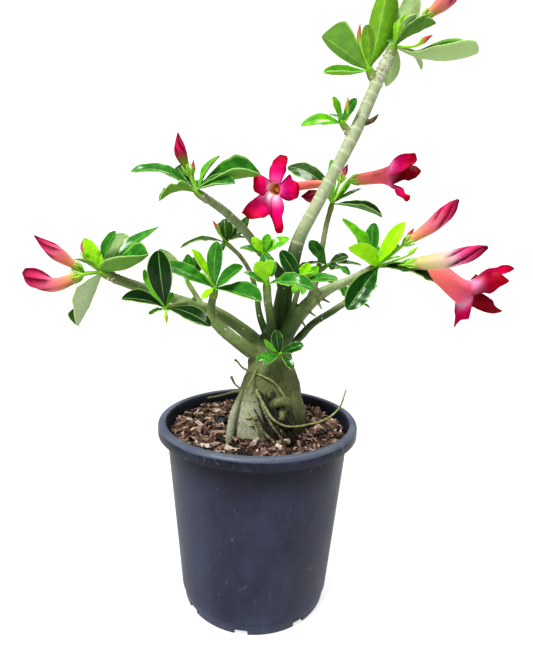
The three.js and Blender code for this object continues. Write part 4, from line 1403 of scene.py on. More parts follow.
@dataclass(frozen=True)
class Outline:
    """How wide a blade is along its length."""

    widest: float
    wedge: float
    tip: float
    notch: float = 0.0

    def half(self, along: Array) -> Array:
        """Half width along the blade.

        Args:
            along: Shares of its length.

        Returns:
            Half widths, as shares of the greatest.
        """
        rise = np.sin(np.pi / 2 * np.clip(along / self.widest, 0, 1)) ** self.wedge
        past = np.clip((along - self.widest) / (1 - self.widest), 0, 1)
        return np.where(along < self.widest, rise, (1 - past**2) ** self.tip)


class Shape(Enum):
    """The outlines that the leaves and petals have."""

    OBOVATE = Outline(0.64, 1.2, 0.55)
    OVAL = Outline(0.55, 1.0, 0.7)
    POINTED = Outline(0.5, 1.0, 1.0)
    HEART = Outline(0.74, 1.1, 0.36, notch=0.09)
    SEPAL = Outline(0.3, 0.5, 0.9)


VIEW: Point = (0, -1, 0.25)
SKY: Point = (0, -0.3, 1)
AWAY: Point = (0, 1, 0.5)
LEFT: Point = (-1, -0.6, 0.4)
RIGHT: Point = (1, -0.6, 0.4)


@dataclass(frozen=True)
class Form:
    """A leaf's own form. Its edges are half widths left and right of the midrib, seen from above."""

    shape: Shape = Shape.OBOVATE
    edges: Edges = ()
    wave: float = 0.07
    twist: float = 0.0
    sway: float = 0.0
    recurve: float = 0.1


@dataclass(frozen=True)
class Blade:
    """One leaf or petal: where its tip is, how wide it is, where its upper face looks and how it bends."""

    tip: Point
    width: float
    face: Point
    bow: float
    fold: float
    tone: Tone = MID
    form: Form = Form(wave=0.12, recurve=0.16)
    waves: float = 1.6
    phase: float = 0.0
    stalk: float = 0.09
    pucker: float = 0.4
    pucker_mm: float = 5.5

    def halves(self, across: Array, share: Array) -> Array:
        """Half width of the blade on each point's own side.

        Args:
            across: Place across the blade, from -1 to 1.
            share: Place along it, from 0 to 1.

        Returns:
            Half widths in millimetres.
        """
        if not self.form.edges:
            half = self.form.shape.value.half(share)
            least = np.where(share > TIP_SHARE, TIP_WIDTH, self.stalk)
            return self.width / 2 * np.maximum(half, least)
        stops = np.array(self.form.edges)
        fine = np.linspace(0, 1, 101)
        near, far = (
            np.convolve(np.pad(np.interp(fine, stops[:, 0], stops[:, k]), 3, mode="edge"),
                        np.ones(7) / 7, mode="valid")
            for k in (1, 2)
        )
        near[-1], far[-1] = stops[-1, 1:]
        return np.where(across < 0, np.interp(share, fine, near), np.interp(share, fine, far))

    def points(self, base: Array, rows: int, columns: int) -> Array:
        """The blade's surface in millimetres.

        Args:
            base: Where the blade starts.
            rows: How many rows of points it has along its length.
            columns: How many points each row has.

        Returns:
            Its points, as rows along it of points across it.
        """
        reach = np.asarray(self.tip, float) - base
        length = np.linalg.norm(reach)
        along = reach / length
        face = np.asarray(self.face, float)
        normal = unit(face - along * np.dot(face, along))
        side = np.cross(along, normal)
        form = self.form
        across, share = np.meshgrid(np.linspace(-1, 1, columns), crowded(rows))
        half = self.halves(across, share)
        fold = math.radians(self.fold)
        rounded = np.abs(across) ** 1.3 * math.sin(fold) - form.recurve * np.abs(across) ** 4
        turn = 2 * np.pi * self.waves * share + self.phase
        ripple = form.wave * across**2 * (np.sin(turn + across) + 0.5 * np.sin(2.3 * turn - 2 * across))
        turned = (math.radians(form.twist) * (share - 0.35))[..., None]
        raised = normal * np.cos(turned) - side * np.sin(turned)
        level = side * np.cos(turned) + normal * np.sin(turned)
        bowed = normal * (length * self.bow * 4 * share * (1 - share))[..., None]
        swayed = side * (length * form.sway * np.sin(np.pi * share))[..., None]
        dent = form.shape.value.notch * (1 - np.abs(across)) ** 2 * eased(share, 0.75, 1)
        made = (
            base
            + along * (length * (share - dent))[..., None]
            + bowed
            + swayed
            + raised * (half * (rounded + ripple))[..., None]
            + level * (across * half * math.cos(fold))[..., None]
        )
        bumps = [noise.noise(Vector(place) / self.pucker_mm) for place in made.reshape(-1, 3)]
        swell = self.pucker * np.reshape(bumps, share.shape) * np.minimum(half / 3, 1)
        return made + normal * swell[..., None]


HEART = Form(Shape.HEART, ((0, 0.9, 0.9), (0.19, 3.2, 1.8), (0.41, 6.7, 4.6), (0.68, 9.2, 7.4), (0.89, 8, 8),
                           (0.96, 6.6, 7), (1, 4.6, 4.8)), wave=0.02, recurve=0.02)
HANGING = Form(edges=((0, 1, 1), (0.16, 9, 4), (0.4, 18, 12), (0.65, 17, 19), (0.85, 10, 20), (0.95, 4.6, 12),
                      (1, 1, 1)), wave=0.03)
CUPPED = Form(wave=0.05, recurve=-0.05)
SEPAL = Form(Shape.SEPAL, wave=0.0, recurve=0.0)
ROLLED = Form(wave=0.04, recurve=-0.3)
HALF_SEEN = Form(edges=((0, 1, 1), (0.27, 3, 10.5), (0.6, 3, 10.5), (0.8, 2.6, 8), (0.95, 1.7, 3.5),
                        (1, 0.6, 0.6)), wave=0.03)
SHALLOW = Form(edges=((0, 1, 1), (0.3, 6.5, 4), (0.6, 12, 6), (0.85, 10.5, 5), (0.95, 6.5, 3), (1, 1.5, 1.2)),
               wave=0.04)
CORNERED = Form(edges=((0, 1, 1), (0.3, 8, 4.5), (0.55, 15, 5.4), (0.78, 19, 4.6), (0.9, 14, 3),
                       (1, 1.6, 0.8)), wave=0.03, recurve=0.06)
TROUGH = Form(edges=((0, 1, 1), (0.2, 8, 12), (0.35, 13, 15), (0.5, 17, 14.5), (0.65, 20, 12.7), (0.8, 18, 8),
                     (0.92, 11, 3), (1, 1.5, 1)), wave=0.02, recurve=-0.03)
LIFTED = Form(edges=((0, 1, 1), (0.3, 9, 7), (0.5, 16, 12), (0.7, 18, 13.4), (0.85, 14, 10), (0.95, 7, 5),
                     (1, 1, 1)), wave=0.04, recurve=-0.02)
LEVEL = Form(edges=((0, 1, 1), (0.25, 4.5, 3.5), (0.46, 14, 12), (0.64, 19, 15), (0.79, 18, 16.5),
                    (0.9, 13, 14), (0.96, 8, 9), (1, 2.5, 3)), wave=0.02, recurve=-0.05)


@dataclass(frozen=True)
class SprayPlan:
    """A leafy spray: how many plain leaves fan out behind, and its other leaves.

    A leaf's row has its tip, its width, where its upper face looks, its bow, fold and tone, and its own form
    if it has one. The branch has the spray's name if none is given.
    """

    back: int
    leaves: tuple[tuple[float | Point | Tone | Form, ...], ...]
    fan_tone: Tone = MID
    branch: str = ""


SPRAYS: dict[str, SprayPlan] = {
    "far_left": SprayPlan(1, (
        (-141, -24, 317, 12, VIEW, 0.05, 16, LIME),
        (-117, -20, 323, 13, (-0.6, -0.8, 0.5), 0.06, 30, MID),
        (-113.5, -3, 321, 19, AWAY, -0.05, 8, SAGE, Form(wave=0.03)),
        (-88.8, 5, 328, 14, (-0.5, -1, 0.7), 0.04, 24, MID, Form(Shape.POINTED)),
        (-88, -34, 305, 33, (0.1, -0.25, 1), -0.1, 50, MID, TROUGH),
        (-147, -30, 300, 11, (0.2, 0.6, 1), 0.1, 20, MID),
        (-143.5, -36, 248, 30, (-1, -0.25, 0.1), -0.03, 50, PALE, HANGING),
        (-130, -22, 306, 7, VIEW, 0.05, 20, LIME),
    )),
    "upper_left": SprayPlan(1, (
        (-100, -34, 367, 16, (0.2, -0.7, 1), 0.16, 26, MID),
        (-76, -46, 345, 21, (-0.6, -0.2, 1), 0.12, 38, MID),
        (-70, -8, 376, 13, VIEW, 0.06, 14, OLIVE),
        (-34, -25, 382, 14, LEFT, 0.04, 30, FRESH),
        (-2, -27, 368, 30, (0, -0.5, 0.87), 0.03, 54, MID, LIFTED),
        (-21, -38, 360, 17, (0, -0.8, 0.8), 0.05, 34, MID, CUPPED),
    )),
    "behind_left": SprayPlan(1, (
        (-73, 20, 311, 13, SKY, 0.14, 14, OLIVE),
        (-35, 32, 338, 16, VIEW, 0.05, 12, OLIVE),
        (-14, 34, 321, 11, SKY, 0.1, 16, OLIVE),
        (-14, 44, 341, 10, VIEW, 0.05, 14, OLIVE),
        (-36, 17, 309, 6, SKY, 0.08, 10, SAGE),
    ), OLIVE),
    "inner_left": SprayPlan(0, (
        (-55, -31, 310, 11, RIGHT, 0.05, 26, LIME),
        (-35, -30, 317, 13, VIEW, 0.06, 10, MID),
        (-14, -34, 298, 16, (-0.5, -1, 0.7), 0.08, 34, MID),
        (1, -46, 272.5, 22, (0, -0.75, 0.8), 0.05, 40, MID, SHALLOW),
        (-76, -32, 298, 15, (0.4, -0.9, 0.8), 0.1, 18, MID),
        (-46, -33, 272, 7, SKY, 0.06, 12, LIME),
        (-48, -23, 292, 4, VIEW, 0.04, 14, LIME),
    )),
    "back_left": SprayPlan(1, (
        (-88, 3, 310, 10, (0.6, 1, 0.4), 0.05, 20, SAGE),
        (-64, 8, 306, 12, VIEW, 0.06, 14, MID),
        (-55, 15, 304, 13, VIEW, 0.05, 12, OLIVE),
    ), OLIVE),
    "low_left": SprayPlan(0, (
        (-79, -38, 309, 21, VIEW, 0.07, 22, DEEP, Form(wave=0.05)),
        (-107, -42, 271, 16, (0, -0.75, 0.8), 0.12, 34, DEEP, CUPPED),
        (-87, -38, 259, 7, SKY, 0.08, 14, FRESH),
        (-38, -45, 252, 17, (0.1, -0.7, 1), 0.12, 12, DEEP),
        (-86, -24, 272, 7, VIEW, 0.05, 14, FRESH),
        (-70, -29, 276, 6, VIEW, 0.05, 14, FRESH),
        (-95, -20, 293, 8, LEFT, 0.05, 20, FRESH),
    )),
    "centre_front": SprayPlan(0, (
        (2, -42, 303.6, 18, VIEW, 0.03, 6, LIME, HEART),
        (-13, -40, 294, 9, (0.2, -0.8, 1), 0.08, 18, MID),
        (40, -49, 283, 18, (0, -0.7, 0.8), 0.12, 36, MID, Form(wave=0.14)),
    )),
    "centre_upper": SprayPlan(0, (
        (-7, -28, 321, 8, VIEW, 0.05, 16, LIME),
        (5, -22, 324, 8, VIEW, 0.05, 16, FRESH),
        (22, -20, 321, 11, (-0.4, -1, 0.7), 0.08, 18, FRESH),
        (-17, -31, 312, 8, (0, -0.8, 1), 0.1, 16, MID),
        (9, -34, 291, 14, VIEW, 0.1, 12, MID),
    )),
    "centre_right": SprayPlan(0, (
        (15, -29, 311, 13, VIEW, 0.12, 12, DARK),
        (38, -24, 302, 9, VIEW, 0.05, 16, LIME),
        (40, -34, 295, 8, SKY, 0.05, 16, LIME),
        (60, -34, 290, 12, (0, -0.7, 1), 0.12, 14, MID),
        (26, -31, 278, 6, SKY, 0.06, 14, FRESH),
        (34, -31, 277, 6, SKY, 0.06, 14, FRESH),
        (47, -13, 299, 8, VIEW, 0.05, 14, FRESH),
    )),
    "behind_centre": SprayPlan(0, (
        (41, 14, 320, 12, VIEW, 0.08, 20, MID),
        (30, 7, 295, 9, SKY, 0.12, 16, OLIVE),
        (76, 20, 308, 11, (-0.3, -1, 1), 0.08, 20, OLIVE),
        (88, 16, 300, 8, SKY, 0.08, 14, OLIVE),
        (77, 8, 292, 11, SKY, 0.1, 12, MID),
        (66, 7, 299, 8, VIEW, 0.08, 10, OLIVE),
    )),
    "behind_stem": SprayPlan(1, (
        (89, 44, 369, 6, (-0.4, -0.6, 1), 0.05, 20, OLIVE),
        (107, 31, 343, 20, (0.1, -0.4, 1), 0.05, 34, DARK, CUPPED),
        (21, 42, 386, 20, (0, -0.9, 0.8), 0.2, 12, OLIVE),
        (60, 38, 393, 8, VIEW, 0.05, 14, FRESH),
        (82, 48, 381, 6, VIEW, 0.05, 14, FRESH),
    ), OLIVE),
    "right": SprayPlan(1, (
        (62, -27, 337, 15, (0.8, -0.9, 0.3), 0.06, 26, FRESH),
        (89, -18, 335, 13, (-0.6, -1, 0.2), 0.06, 20, MID),
        (112.5, -22, 336, 14, (-0.8, -1, 0.1), 0.14, 30, LIME),
        (65.5, -44, 314.5, 18, VIEW, 0.06, 16, LIME, HALF_SEEN),
        (68, -38, 267, 21, (-0.1, -1, 0.35), 0.08, 26, DARK, Form(wave=0.05)),
        (137, -27, 290, 15, (0, -0.6, 0.9), 0.14, 30, DEEP),
        (108, -32, 309, 8, SKY, 0.06, 18, FRESH),
    )),
    "low_right": SprayPlan(2, (
        (95, 4, 264, 6, SKY, 0.08, 14, MID),
        (101, 6, 283, 6, SKY, 0.08, 14, MID),
        (69, 2, 283, 8, VIEW, 0.06, 14, MID),
    )),
    "trunk": SprayPlan(0, (
        (13, -30, 248, 10, VIEW, 0.06, 12, DARK),
        (36, -28, 236, 10, (-0.3, -0.9, 1), 0.06, 18, DARK),
        (-2, -32, 223, 8, SKY, 0.14, 12, MID),
        (4, -38, 221, 8, SKY, 0.14, 14, MID),
        (28, -35, 217, 7, (0.2, -0.9, 1), 0.08, 14, DARK),
        (4, -25, 239, 4, VIEW, 0.05, 14, FRESH),
    )),
    "top_left": SprayPlan(1, (
        (42, -12, 474, 27, (0.1, 1, 0.2), -0.04, 16, MID, CORNERED),
        (44, -17, 446, 15, (0, -0.7, 0.8), -0.06, 38, FRESH, CUPPED),
        (74, -21, 479, 11, AWAY, 0.04, 22, FRESH),
        (91, -9, 515, 27, (0.35, 1, 0.2), 0.06, 34, FRESH, ROLLED),
    )),
    "top": SprayPlan(1, (
        (117, 9, 517, 19, (-0.2, 1, 0.2), 0.04, 10, SAGE),
        (126.5, -17, 483, 15, (-0.4, 0.5, 1), 0.08, 28, MID, CUPPED),
        (160, -16, 463, 24, (0, -0.38, 1), -0.11, 46, SAGE, LEVEL),
        (118, -22, 486, 9, (-0.5, 0.6, 0.8), 0.06, 18, DARK),
        (104, -16, 489, 6, VIEW, 0.04, 20, LIME),
        (97, -15, 484, 5, VIEW, 0.04, 20, LIME),
        (124, 2, 457, 10, (0.3, -0.2, 1), 0.16, 14, OLIVE),
        (98, 9, 446, 12, (0.6, 1, 0.6), 0.08, 10, SAGE),
        (111, -18, 488, 9, (-0.6, 1, 0.3), 0.04, 18, SAGE),
    ), branch="tall"),
    "mid_stem": SprayPlan(1, (
        (28, -14, 408, 12, (0, -0.9, 0.5), 0.1, 16, FRESH),
        (52, -14, 430, 8, (0.5, -1, 0.3), 0.04, 20, FRESH),
        (70, -15, 429, 8, VIEW, 0.06, 16, MID),
    )),
}


@dataclass(frozen=True)
class Fan:
    """The plain leaves on the far side of a spray."""

    length: float = 34.0
    width: float = 13.0
    rise: float = 32.0
    first: float = 62.0
    spread: float = 62.0
    bow: float = 0.08
    fold: float = 14.0
    seed: int = 5

    def tips(self, core: Array, count: int, draw: Iterator[float]) -> Iterator[Point]:
        """Tips of the leaves, from the same draws as in the CAD source.

        Args:
            core: The middle of the growing tip.
            count: How many leaves there are.
            draw: The draws, which all sprays share.

        Yields:
            Each leaf's tip.
        """
        for k in range(count):
            share = k / (count - 1) if count > 1 else 0.5
            turn = math.radians(self.first + self.spread * share + 12 * (next(draw) - 0.5))
            rise = math.radians(self.rise + 20 * (next(draw) - 0.5))
            level = math.cos(rise)
            reach = np.array([math.cos(turn) * level, math.sin(turn) * level, math.sin(rise)])
            yield tuple(core + reach * self.length * (0.8 + 0.3 * next(draw)))


@dataclass(frozen=True)
class BudPlan:
    """A furled bud: its spray, greatest radius, axis from base to tip, and finish."""

    spray: str
    radius: float
    axis: Axis
    finish: str = "bud_salmon"
    form: str = "bud"
    darkness: float = 0.0


BUDS: dict[str, BudPlan] = {
    "bud_far_left": BudPlan("far_left", 6.2, ((-148, -18, 292), (-164, -22, 304), (-180, -26, 318))),
    "bud_far_left_opening": BudPlan("far_left", 8.2, ((-144, -30, 287), (-164, -34, 280), (-185, -34, 290)),
                                    form="blunt"),
    "bud_far_left_small": BudPlan("far_left", 3.2, ((-146, -8, 301), (-148, -7, 308), (-149, -6, 316)),
                                  darkness=0.2),
    "bud_upper_left": BudPlan("upper_left", 5, ((-58, -26, 369), (-64, -26, 384), (-66, -26, 398)),
                              finish="bud_green"),
    "bud_stem_dark": BudPlan("behind_stem", 6, ((54, 30, 361), (42, 19, 358.5), (32, 9, 357)), darkness=0.35),
    "bud_stem_small": BudPlan("behind_stem", 3, ((69, 39, 375), (72, 40, 382), (75, 41, 390)), darkness=0.2),
    "bud_right_upper": BudPlan("right", 6.6, ((115, -22, 320), (135, -25, 335), (152, -26, 354)),
                               form="late"),
    "bud_right_lower": BudPlan("right", 7, ((117, -28, 303), (146, -35, 308), (172, -40, 318)),
                               finish="bud_cream", form="stout"),
    "bud_top": BudPlan("top", 6.4, ((120, -8, 490), (135, -9, 502), (150, -8, 515))),
}

ROUND_PETAL: Edges = ((0, 5, 5), (0.3, 7, 7), (0.6, 8.6, 8.6), (0.85, 6.5, 6.5), (1, 1, 1))


@dataclass(frozen=True)
class PetalPlan:
    """A petal: its tip, where its inner face looks, and how deep its colour is.

    Its edges are given at shares of its length, as the half widths on its left and right from the front.
    """

    tip: Point
    face: Point
    depth: float = 0.0
    edges: Edges = ROUND_PETAL
    bow: float = 0.08
    pale: float = 0.25


@dataclass(frozen=True)
class BloomPlan:
    """An open flower: its spray, where its mouth looks, its radius, its axis and its petals."""

    spray: str
    looks: Point
    radius: float
    axis: Axis
    petals: tuple[PetalPlan, ...]
    mouth: float = 1.0
    tube: tuple[float, ...] = (0.3, 0.57, 0.62, 0.65, 0.69, 0.78, 1)


BLOOMS: dict[str, BloomPlan] = {
    "bloom_front": BloomPlan("behind_stem", (-0.5, -0.85, -0.15), 7.5, (
        (55, 23, 370), (38, 12, 367), (9, -10, 360)), (
        PetalPlan((15.5, -12, 386), (-0.4, -1, 0.1), 0.28, (
            (0, 5, 4.2), (0.1, 5.5, 4.4), (0.32, 7.3, 5.1), (0.6, 9, 5.1), (0.72, 8.8, 5), (0.82, 6.6, 5),
            (0.9, 5, 4.6), (0.96, 4, 4), (1, 2.4, 2.4)), pale=0.15),
        PetalPlan((-8, -17, 363), (-0.3, -1, 0.1), 0.15, (
            (0, 6, 5.2), (0.26, 7, 6.4), (0.5, 8.7, 8.2), (0.75, 6.8, 9.8), (0.93, 4.4, 8.4), (1, 2.4, 5)),
                  pale=0.5),
        PetalPlan((-15, -20, 339), (-0.4, -1, 0.3), 0.0, (
            (0, 6.4, 3.9), (0.15, 9.5, 4), (0.28, 12.1, 4.4), (0.44, 13.6, 4.2), (0.6, 14.4, 4.5),
            (0.75, 14, 4.6), (0.88, 11.5, 4.2), (0.97, 7.5, 3.2), (1, 4.6, 2.4)), pale=1.0),
        PetalPlan((14, -14, 325), (-0.3, -1, 0.3), 0.0, (
            (0, 5, 3.4), (0.06, 7, 3.6), (0.24, 7.6, 5.6), (0.43, 6.3, 7.4), (0.6, 3.7, 5.4), (0.78, 3.8, 4),
            (0.92, 3.3, 3.4), (0.97, 2.6, 2.8), (1, 1.6, 1.8)), pale=0.65),
        PetalPlan((29, -6, 360), (-0.7, -1, 0), 0.12, (
            (0, 7.4, 7.8), (0.2, 9.3, 9.5), (0.38, 11, 8.8), (0.52, 12.8, 8.4), (0.62, 10.5, 8),
            (0.75, 8.4, 7.2), (0.93, 6.2, 6), (1, 3.2, 3.2)), pale=0.1),
    ), mouth=0.72),
    "bloom_stem_side": BloomPlan("behind_stem", (0.94, -0.3, 0.08), 8.5, (
        (80, 36, 375.5), (96, 31, 377), (110, 27, 378.5)), (
        PetalPlan((133, 33, 399), (-0.5, -0.9, 0.4), 0.5, (
            (0, 3, 3.5), (0.38, 4.8, 5), (0.69, 4.4, 6), (0.9, 3, 5.5), (1, 0.5, 0.5))),
        PetalPlan((139.5, 34, 384.5), (-0.6, -1, 0.3), 0.95, (
            (0, 4, 4), (0.22, 4.8, 5.5), (0.56, 6.9, 7.2), (0.8, 7.2, 6.5), (0.93, 4.6, 3.4), (1, 0.5, 0.5))),
        PetalPlan((130, 18, 393), (0.5, 1, 0.1), 0.0, (
            (0, 5, 4.6), (0.13, 5.6, 6), (0.3, 6.6, 7.6), (0.48, 7, 7.4), (0.64, 6.7, 6), (0.82, 5.2, 4.9),
            (0.93, 4, 4), (1, 2, 2)), pale=0.2),
        PetalPlan((127.5, 24, 357.5), (0.6, -1, 0.3), 0.35, (
            (0, 6.7, 3.4), (0.17, 6.7, 3.5), (0.33, 5, 3.6), (0.45, 6.4, 3.6), (0.56, 6.9, 3.7),
            (0.73, 5.6, 3.6), (0.93, 5.4, 3), (1, 2, 0.8)), pale=0.2),
        PetalPlan((129, 46, 390), (-0.6, -1, 0), 0.7),
    )),
    "bloom_right": BloomPlan("right", (0.89, 0.05, -0.45), 10.5, (
        (121, -8, 303), (147, -8, 296), (172, -6, 280)), (
        PetalPlan((216.5, 4, 301), (0.3, 1, 0.2), 0.0, (
            (0, 4, 4.2), (0.19, 6.2, 6.7), (0.3, 7.8, 6.5), (0.44, 6.9, 5.6), (0.58, 5.4, 3.4),
            (0.7, 4.8, 0.8), (0.78, 5.7, 2.2), (0.93, 4.2, 1.9), (1, 0.5, 0.5)), pale=0.8),
        PetalPlan((209, -4, 291), (-0.3, -1, 0.5), 0.8, (
            (0, 4, 3), (0.13, 4.4, 5.2), (0.3, 5, 7), (0.45, 6, 10.2), (0.55, 7, 9.5), (0.7, 9, 6),
            (0.84, 8.2, 3.8), (0.93, 3.4, 2.4), (1, 0.5, 0.5))),
        PetalPlan((210, 4, 264.5), (-0.2, -1, -0.4), 0.95, (
            (0, 4.9, 6), (0.2, 5.5, 7.4), (0.4, 5.2, 8.6), (0.54, 4.9, 9.2), (0.68, 4.4, 8), (0.76, 1.4, 7),
            (0.93, 0.4, 5.6), (1, -1.5, 3))),
        PetalPlan((165, -8, 251), (0.5, 1, 0.2), 0.0, (
            (0, 6, 6), (0.14, 9.4, 5), (0.31, 10, 3.1), (0.52, 10.5, 1), (0.62, 10.4, 0.5), (0.67, 4.5, 0.4),
            (0.88, 1.5, 0.3), (1, 0.3, 0.3)), pale=0.45),
        PetalPlan((197, 20, 287), (0, -1, -0.2), 0.9),
    ), tube=(0.34, 0.6, 0.72, 0.77, 0.8, 0.87, 1)),
}


@dataclass(frozen=True)
class YoungBud:
    """A bud still too young for a calyx: its spray, its points from foot to tip, its radius and its blush."""

    spray: str
    axis: Axis
    radius: float
    blush: float


YOUNG_BUDS: tuple[YoungBud, ...] = (
    YoungBud("upper_left", ((-55, -22, 367), (-55, -21, 373), (-55, -21, 379)), 1.9, 0.9),
    YoungBud("behind_left", ((-38, 25, 324), (-41, 25, 330), (-45, 25, 336)), 2.1, 0.9),
    YoungBud("right", ((118, -9, 320), (121, -9, 327), (124, -10, 332)), 2.1, 1.0),
    YoungBud("right", ((103, -18, 309), (107, -19, 314), (110, -20, 319)), 2, 0.1),
    YoungBud("right", ((115, -28, 310), (118, -29, 313), (122, -30, 317)), 2, 0.1),
    YoungBud("top_left", ((73, -13, 464), (70, -14, 473), (70, -15, 482)), 2.1, 0.8),
    YoungBud("top", ((112, -19, 466), (117, -23, 468.5), (122, -26, 471)), 2.4, 0.9),
    YoungBud("top", ((98, -16, 473), (98.5, -18, 479), (99, -20, 485)), 2.2, 0.0),
    YoungBud("mid_stem", ((65, -11, 416), (64, -13, 423), (64, -14, 430)), 2.1, 0.6),
    YoungBud("low_left", ((-74.5, -34, 261), (-74, -36, 257), (-73, -38, 252)), 1.7, 0.3),
)


@dataclass
class Foliage(Workshop):
    """The leafy sprays: growing tips, leaves, calyxes and the youngest buds."""

    fan: Fan = field(default_factory=Fan)
    gap: float = 0.35
    core_length: float = 4.0
    crown_length: float = 8.0
    leaf_root: float = 1.2
    climb: float = 4.0
    thickness: float = 0.7
    rows: int = 22
    columns: int = 13
    base_share: float = 0.3
    collar: float = 4.5
    sepal_count: int = 5
    sepal_length: float = 7.0
    sepal_width: float = 3.4
    seed: int = 41

    def leaf(self, core: Array, direction: Array, blade: Blade) -> Piece:
        """One leaf, rooted in the growing tip.

        Args:
            core: The middle of the growing tip.
            direction: Where the branch points.
            blade: The leaf.

        Returns:
            Its sheet, without thickness yet.
        """
        reach = unit(np.asarray(blade.tip, float) - core)
        back = max(-float(np.dot(reach, direction)), 0.0)
        base = core + reach * self.leaf_root + direction * back * self.climb
        sheet = self.sheet("leaf", blade.points(base, self.rows, self.columns))
        youth, dull = blade.tone.value
        return self.marked(sheet, youth=youth, dull=dull, blush=0.0)

    def sepals(self, base: Array, direction: Array, radius: float) -> list[Piece]:
        """Five pointed sepals round a flower's foot.

        Args:
            base: The flower's base.
            direction: Where the flower points.
            radius: Radius of the flower's foot.

        Returns:
            Their sheets.
        """
        across = unit(np.cross([0.1, 0.2, 1], direction))
        up = np.cross(direction, across)
        made = []
        for k in range(self.sepal_count):
            turn = 2 * math.pi * k / self.sepal_count
            out = across * math.cos(turn) + up * math.sin(turn)
            foot = base - direction * 2.2 + out * (radius * 0.75)
            tip = base + direction * (self.sepal_length - 1.5) + out * (radius + 2.4)
            blade = Blade(tuple(tip), self.sepal_width, tuple(-out), -0.06, -18, LIME, SEPAL, stalk=0.6)
            sheet = self.sheet("sepal", blade.points(foot, 8, 5))
            made.append(self.marked(sheet, youth=0.92, dull=0.1, blush=0.0))
        return made

    def shoot(self, name: str, lines: Sequence[Array], youth: float, dull: float,
              blush: Callable[[Piece], Array | float] = lambda _: 0.0) -> Piece:
        """Round green parts along lines.

        Args:
            name: The object's name.
            lines: Samples of x, y, z and radius of each part.
            youth: How young their green is.
            dull: How dull their green is.
            blush: Gives how far the red reaches, for each point of the made object.

        Returns:
            The parts as one object.
        """
        made = self.tubes(name, lines, 12)
        self.marked(made, youth=youth, dull=dull, blush=blush(made))
        return self.dressed(made, self.palette.leaf_under)

    def growing_tip(self, foot: Array, core: Array, crown: Array,
                    radius: float) -> Piece:
        """The soft green end of a branch, which starts a little way down it.

        Args:
            foot: Where it starts on the branch.
            core: Its middle.
            crown: Its top.
            radius: Radius of the branch's end.

        Returns:
            The growing tip.
        """
        first, second = foot + (core - foot) * 0.2, foot + (core - foot) * 0.6
        line = smooth_line([(*foot, radius * 0.9), (*first, radius * 1.1), (*second, radius * 1.1),
                            (*core, radius * 0.9), (*crown, 0.8)], 6)
        made = self.tubes("growing_tip", [line], 16)
        reach = crown - foot
        share = (self.coordinates(made) - foot) @ reach / (reach @ reach)
        self.marked(made, run=share, rim=0.0, deep=0.0)
        return self.dressed(made, self.palette.shoot)

    def young(self, core: Array, bud: YoungBud) -> Piece:
        """A young bud on its stalk, red towards its tip.

        Args:
            core: The middle of the growing tip.
            bud: The bud.

        Returns:
            The bud and its stalk.
        """
        radii = [0.9, 0.9, bud.radius, 0.3]
        stops = [(*core, radii[0]), *((*place, radius) for place, radius in zip(bud.axis, radii[1:]))]
        foot, tip = np.array(bud.axis[0], float), np.array(bud.axis[2], float)
        reach = tip - foot

        def blush(made: Piece) -> Array:
            """Red grows along the bud."""
            share = (self.coordinates(made) - foot) @ reach / (reach @ reach)
            return bud.blush * eased(share, 0.15, 0.75)

        return self.shoot("young_bud", [smooth_line(stops, 6)], 0.95, 0.1, blush)

    def spray(self, name: str, plan: SprayPlan, fan_draw: Iterator[float]) -> None:
        """Builds one spray.

        Args:
            name: The spray's name.
            plan: What it holds.
            fan_draw: The draws for the leaves behind, which all sprays share.
        """
        draw = random.Random(f"{self.seed}{name}")
        stops = np.array(BRANCHES[plan.branch or name], float)
        end, radius = stops[-1, :3], stops[-1, 3]
        direction = unit(end - stops[-2, :3])
        foot = end + direction * self.gap
        core = foot + direction * self.core_length
        crown = foot + direction * self.crown_length
        fan = self.fan
        blades = []
        for x, y, z, width, face, bow, fold, tone, *own in plan.leaves:
            usual = Form(draw.choice((Shape.OBOVATE, Shape.OBOVATE, Shape.OVAL)), (),
                         draw.uniform(0.05, 0.17), draw.uniform(-24, 24), draw.uniform(-0.06, 0.06),
                         draw.uniform(0, 0.2))
            form = own[0] if own else usual
            blades.append(Blade((x, y, z), width, face, bow, fold, tone, form, draw.uniform(1.1, 2.2),
                                draw.uniform(0, 6.3)))
        blades += [
            Blade(tip, fan.width, SKY, fan.bow, fan.fold, plan.fan_tone, phase=draw.uniform(0, 6))
            for tip in fan.tips(core, plan.back, fan_draw)
        ]
        sheets = [self.leaf(core, direction, blade) for blade in blades]
        stalks = []
        for flower in [*BUDS.values(), *BLOOMS.values()]:
            if flower.spray != name:
                continue
            base, middle = (np.array(place, float) for place in flower.axis[:2])
            heading = unit(middle - base)
            neck = flower.radius * self.base_share
            sheets += self.sepals(base, heading, neck)
            cup = base - heading * 4
            stalks.append(smooth_line([(*core, 1.2), (*cup, 1.2), (*(base - heading * 1.6), neck + 0.8),
                                       (*(base + heading * 0.4), neck + 0.9)], 5))
        leaves = self.joined("leaves", sheets)
        self.dressed(leaves, self.palette.leaf_top, self.palette.leaf_under)
        self.applied(leaves, "SOLIDIFY", thickness=self.thickness * MM, offset=0, material_offset=1,
                          material_offset_rim=1, use_even_offset=True)
        parts = [leaves, self.growing_tip(end - direction * self.collar, core, crown, radius)]
        if stalks:
            parts.append(self.shoot("stalks", stalks, 0.9, 0.15))
        parts += [self.young(core, bud) for bud in YOUNG_BUDS if bud.spray == name]
        made = self.joined(f"foliage_{name}", parts)
        self.finished(made, Slot.LEAF, [f"leaves_{name}"])

    def build(self) -> None:
        """Builds every spray."""
        fan_draw = repeating_draw(self.fan.seed)
        for name, plan in SPRAYS.items():
            self.spray(name, plan, fan_draw)


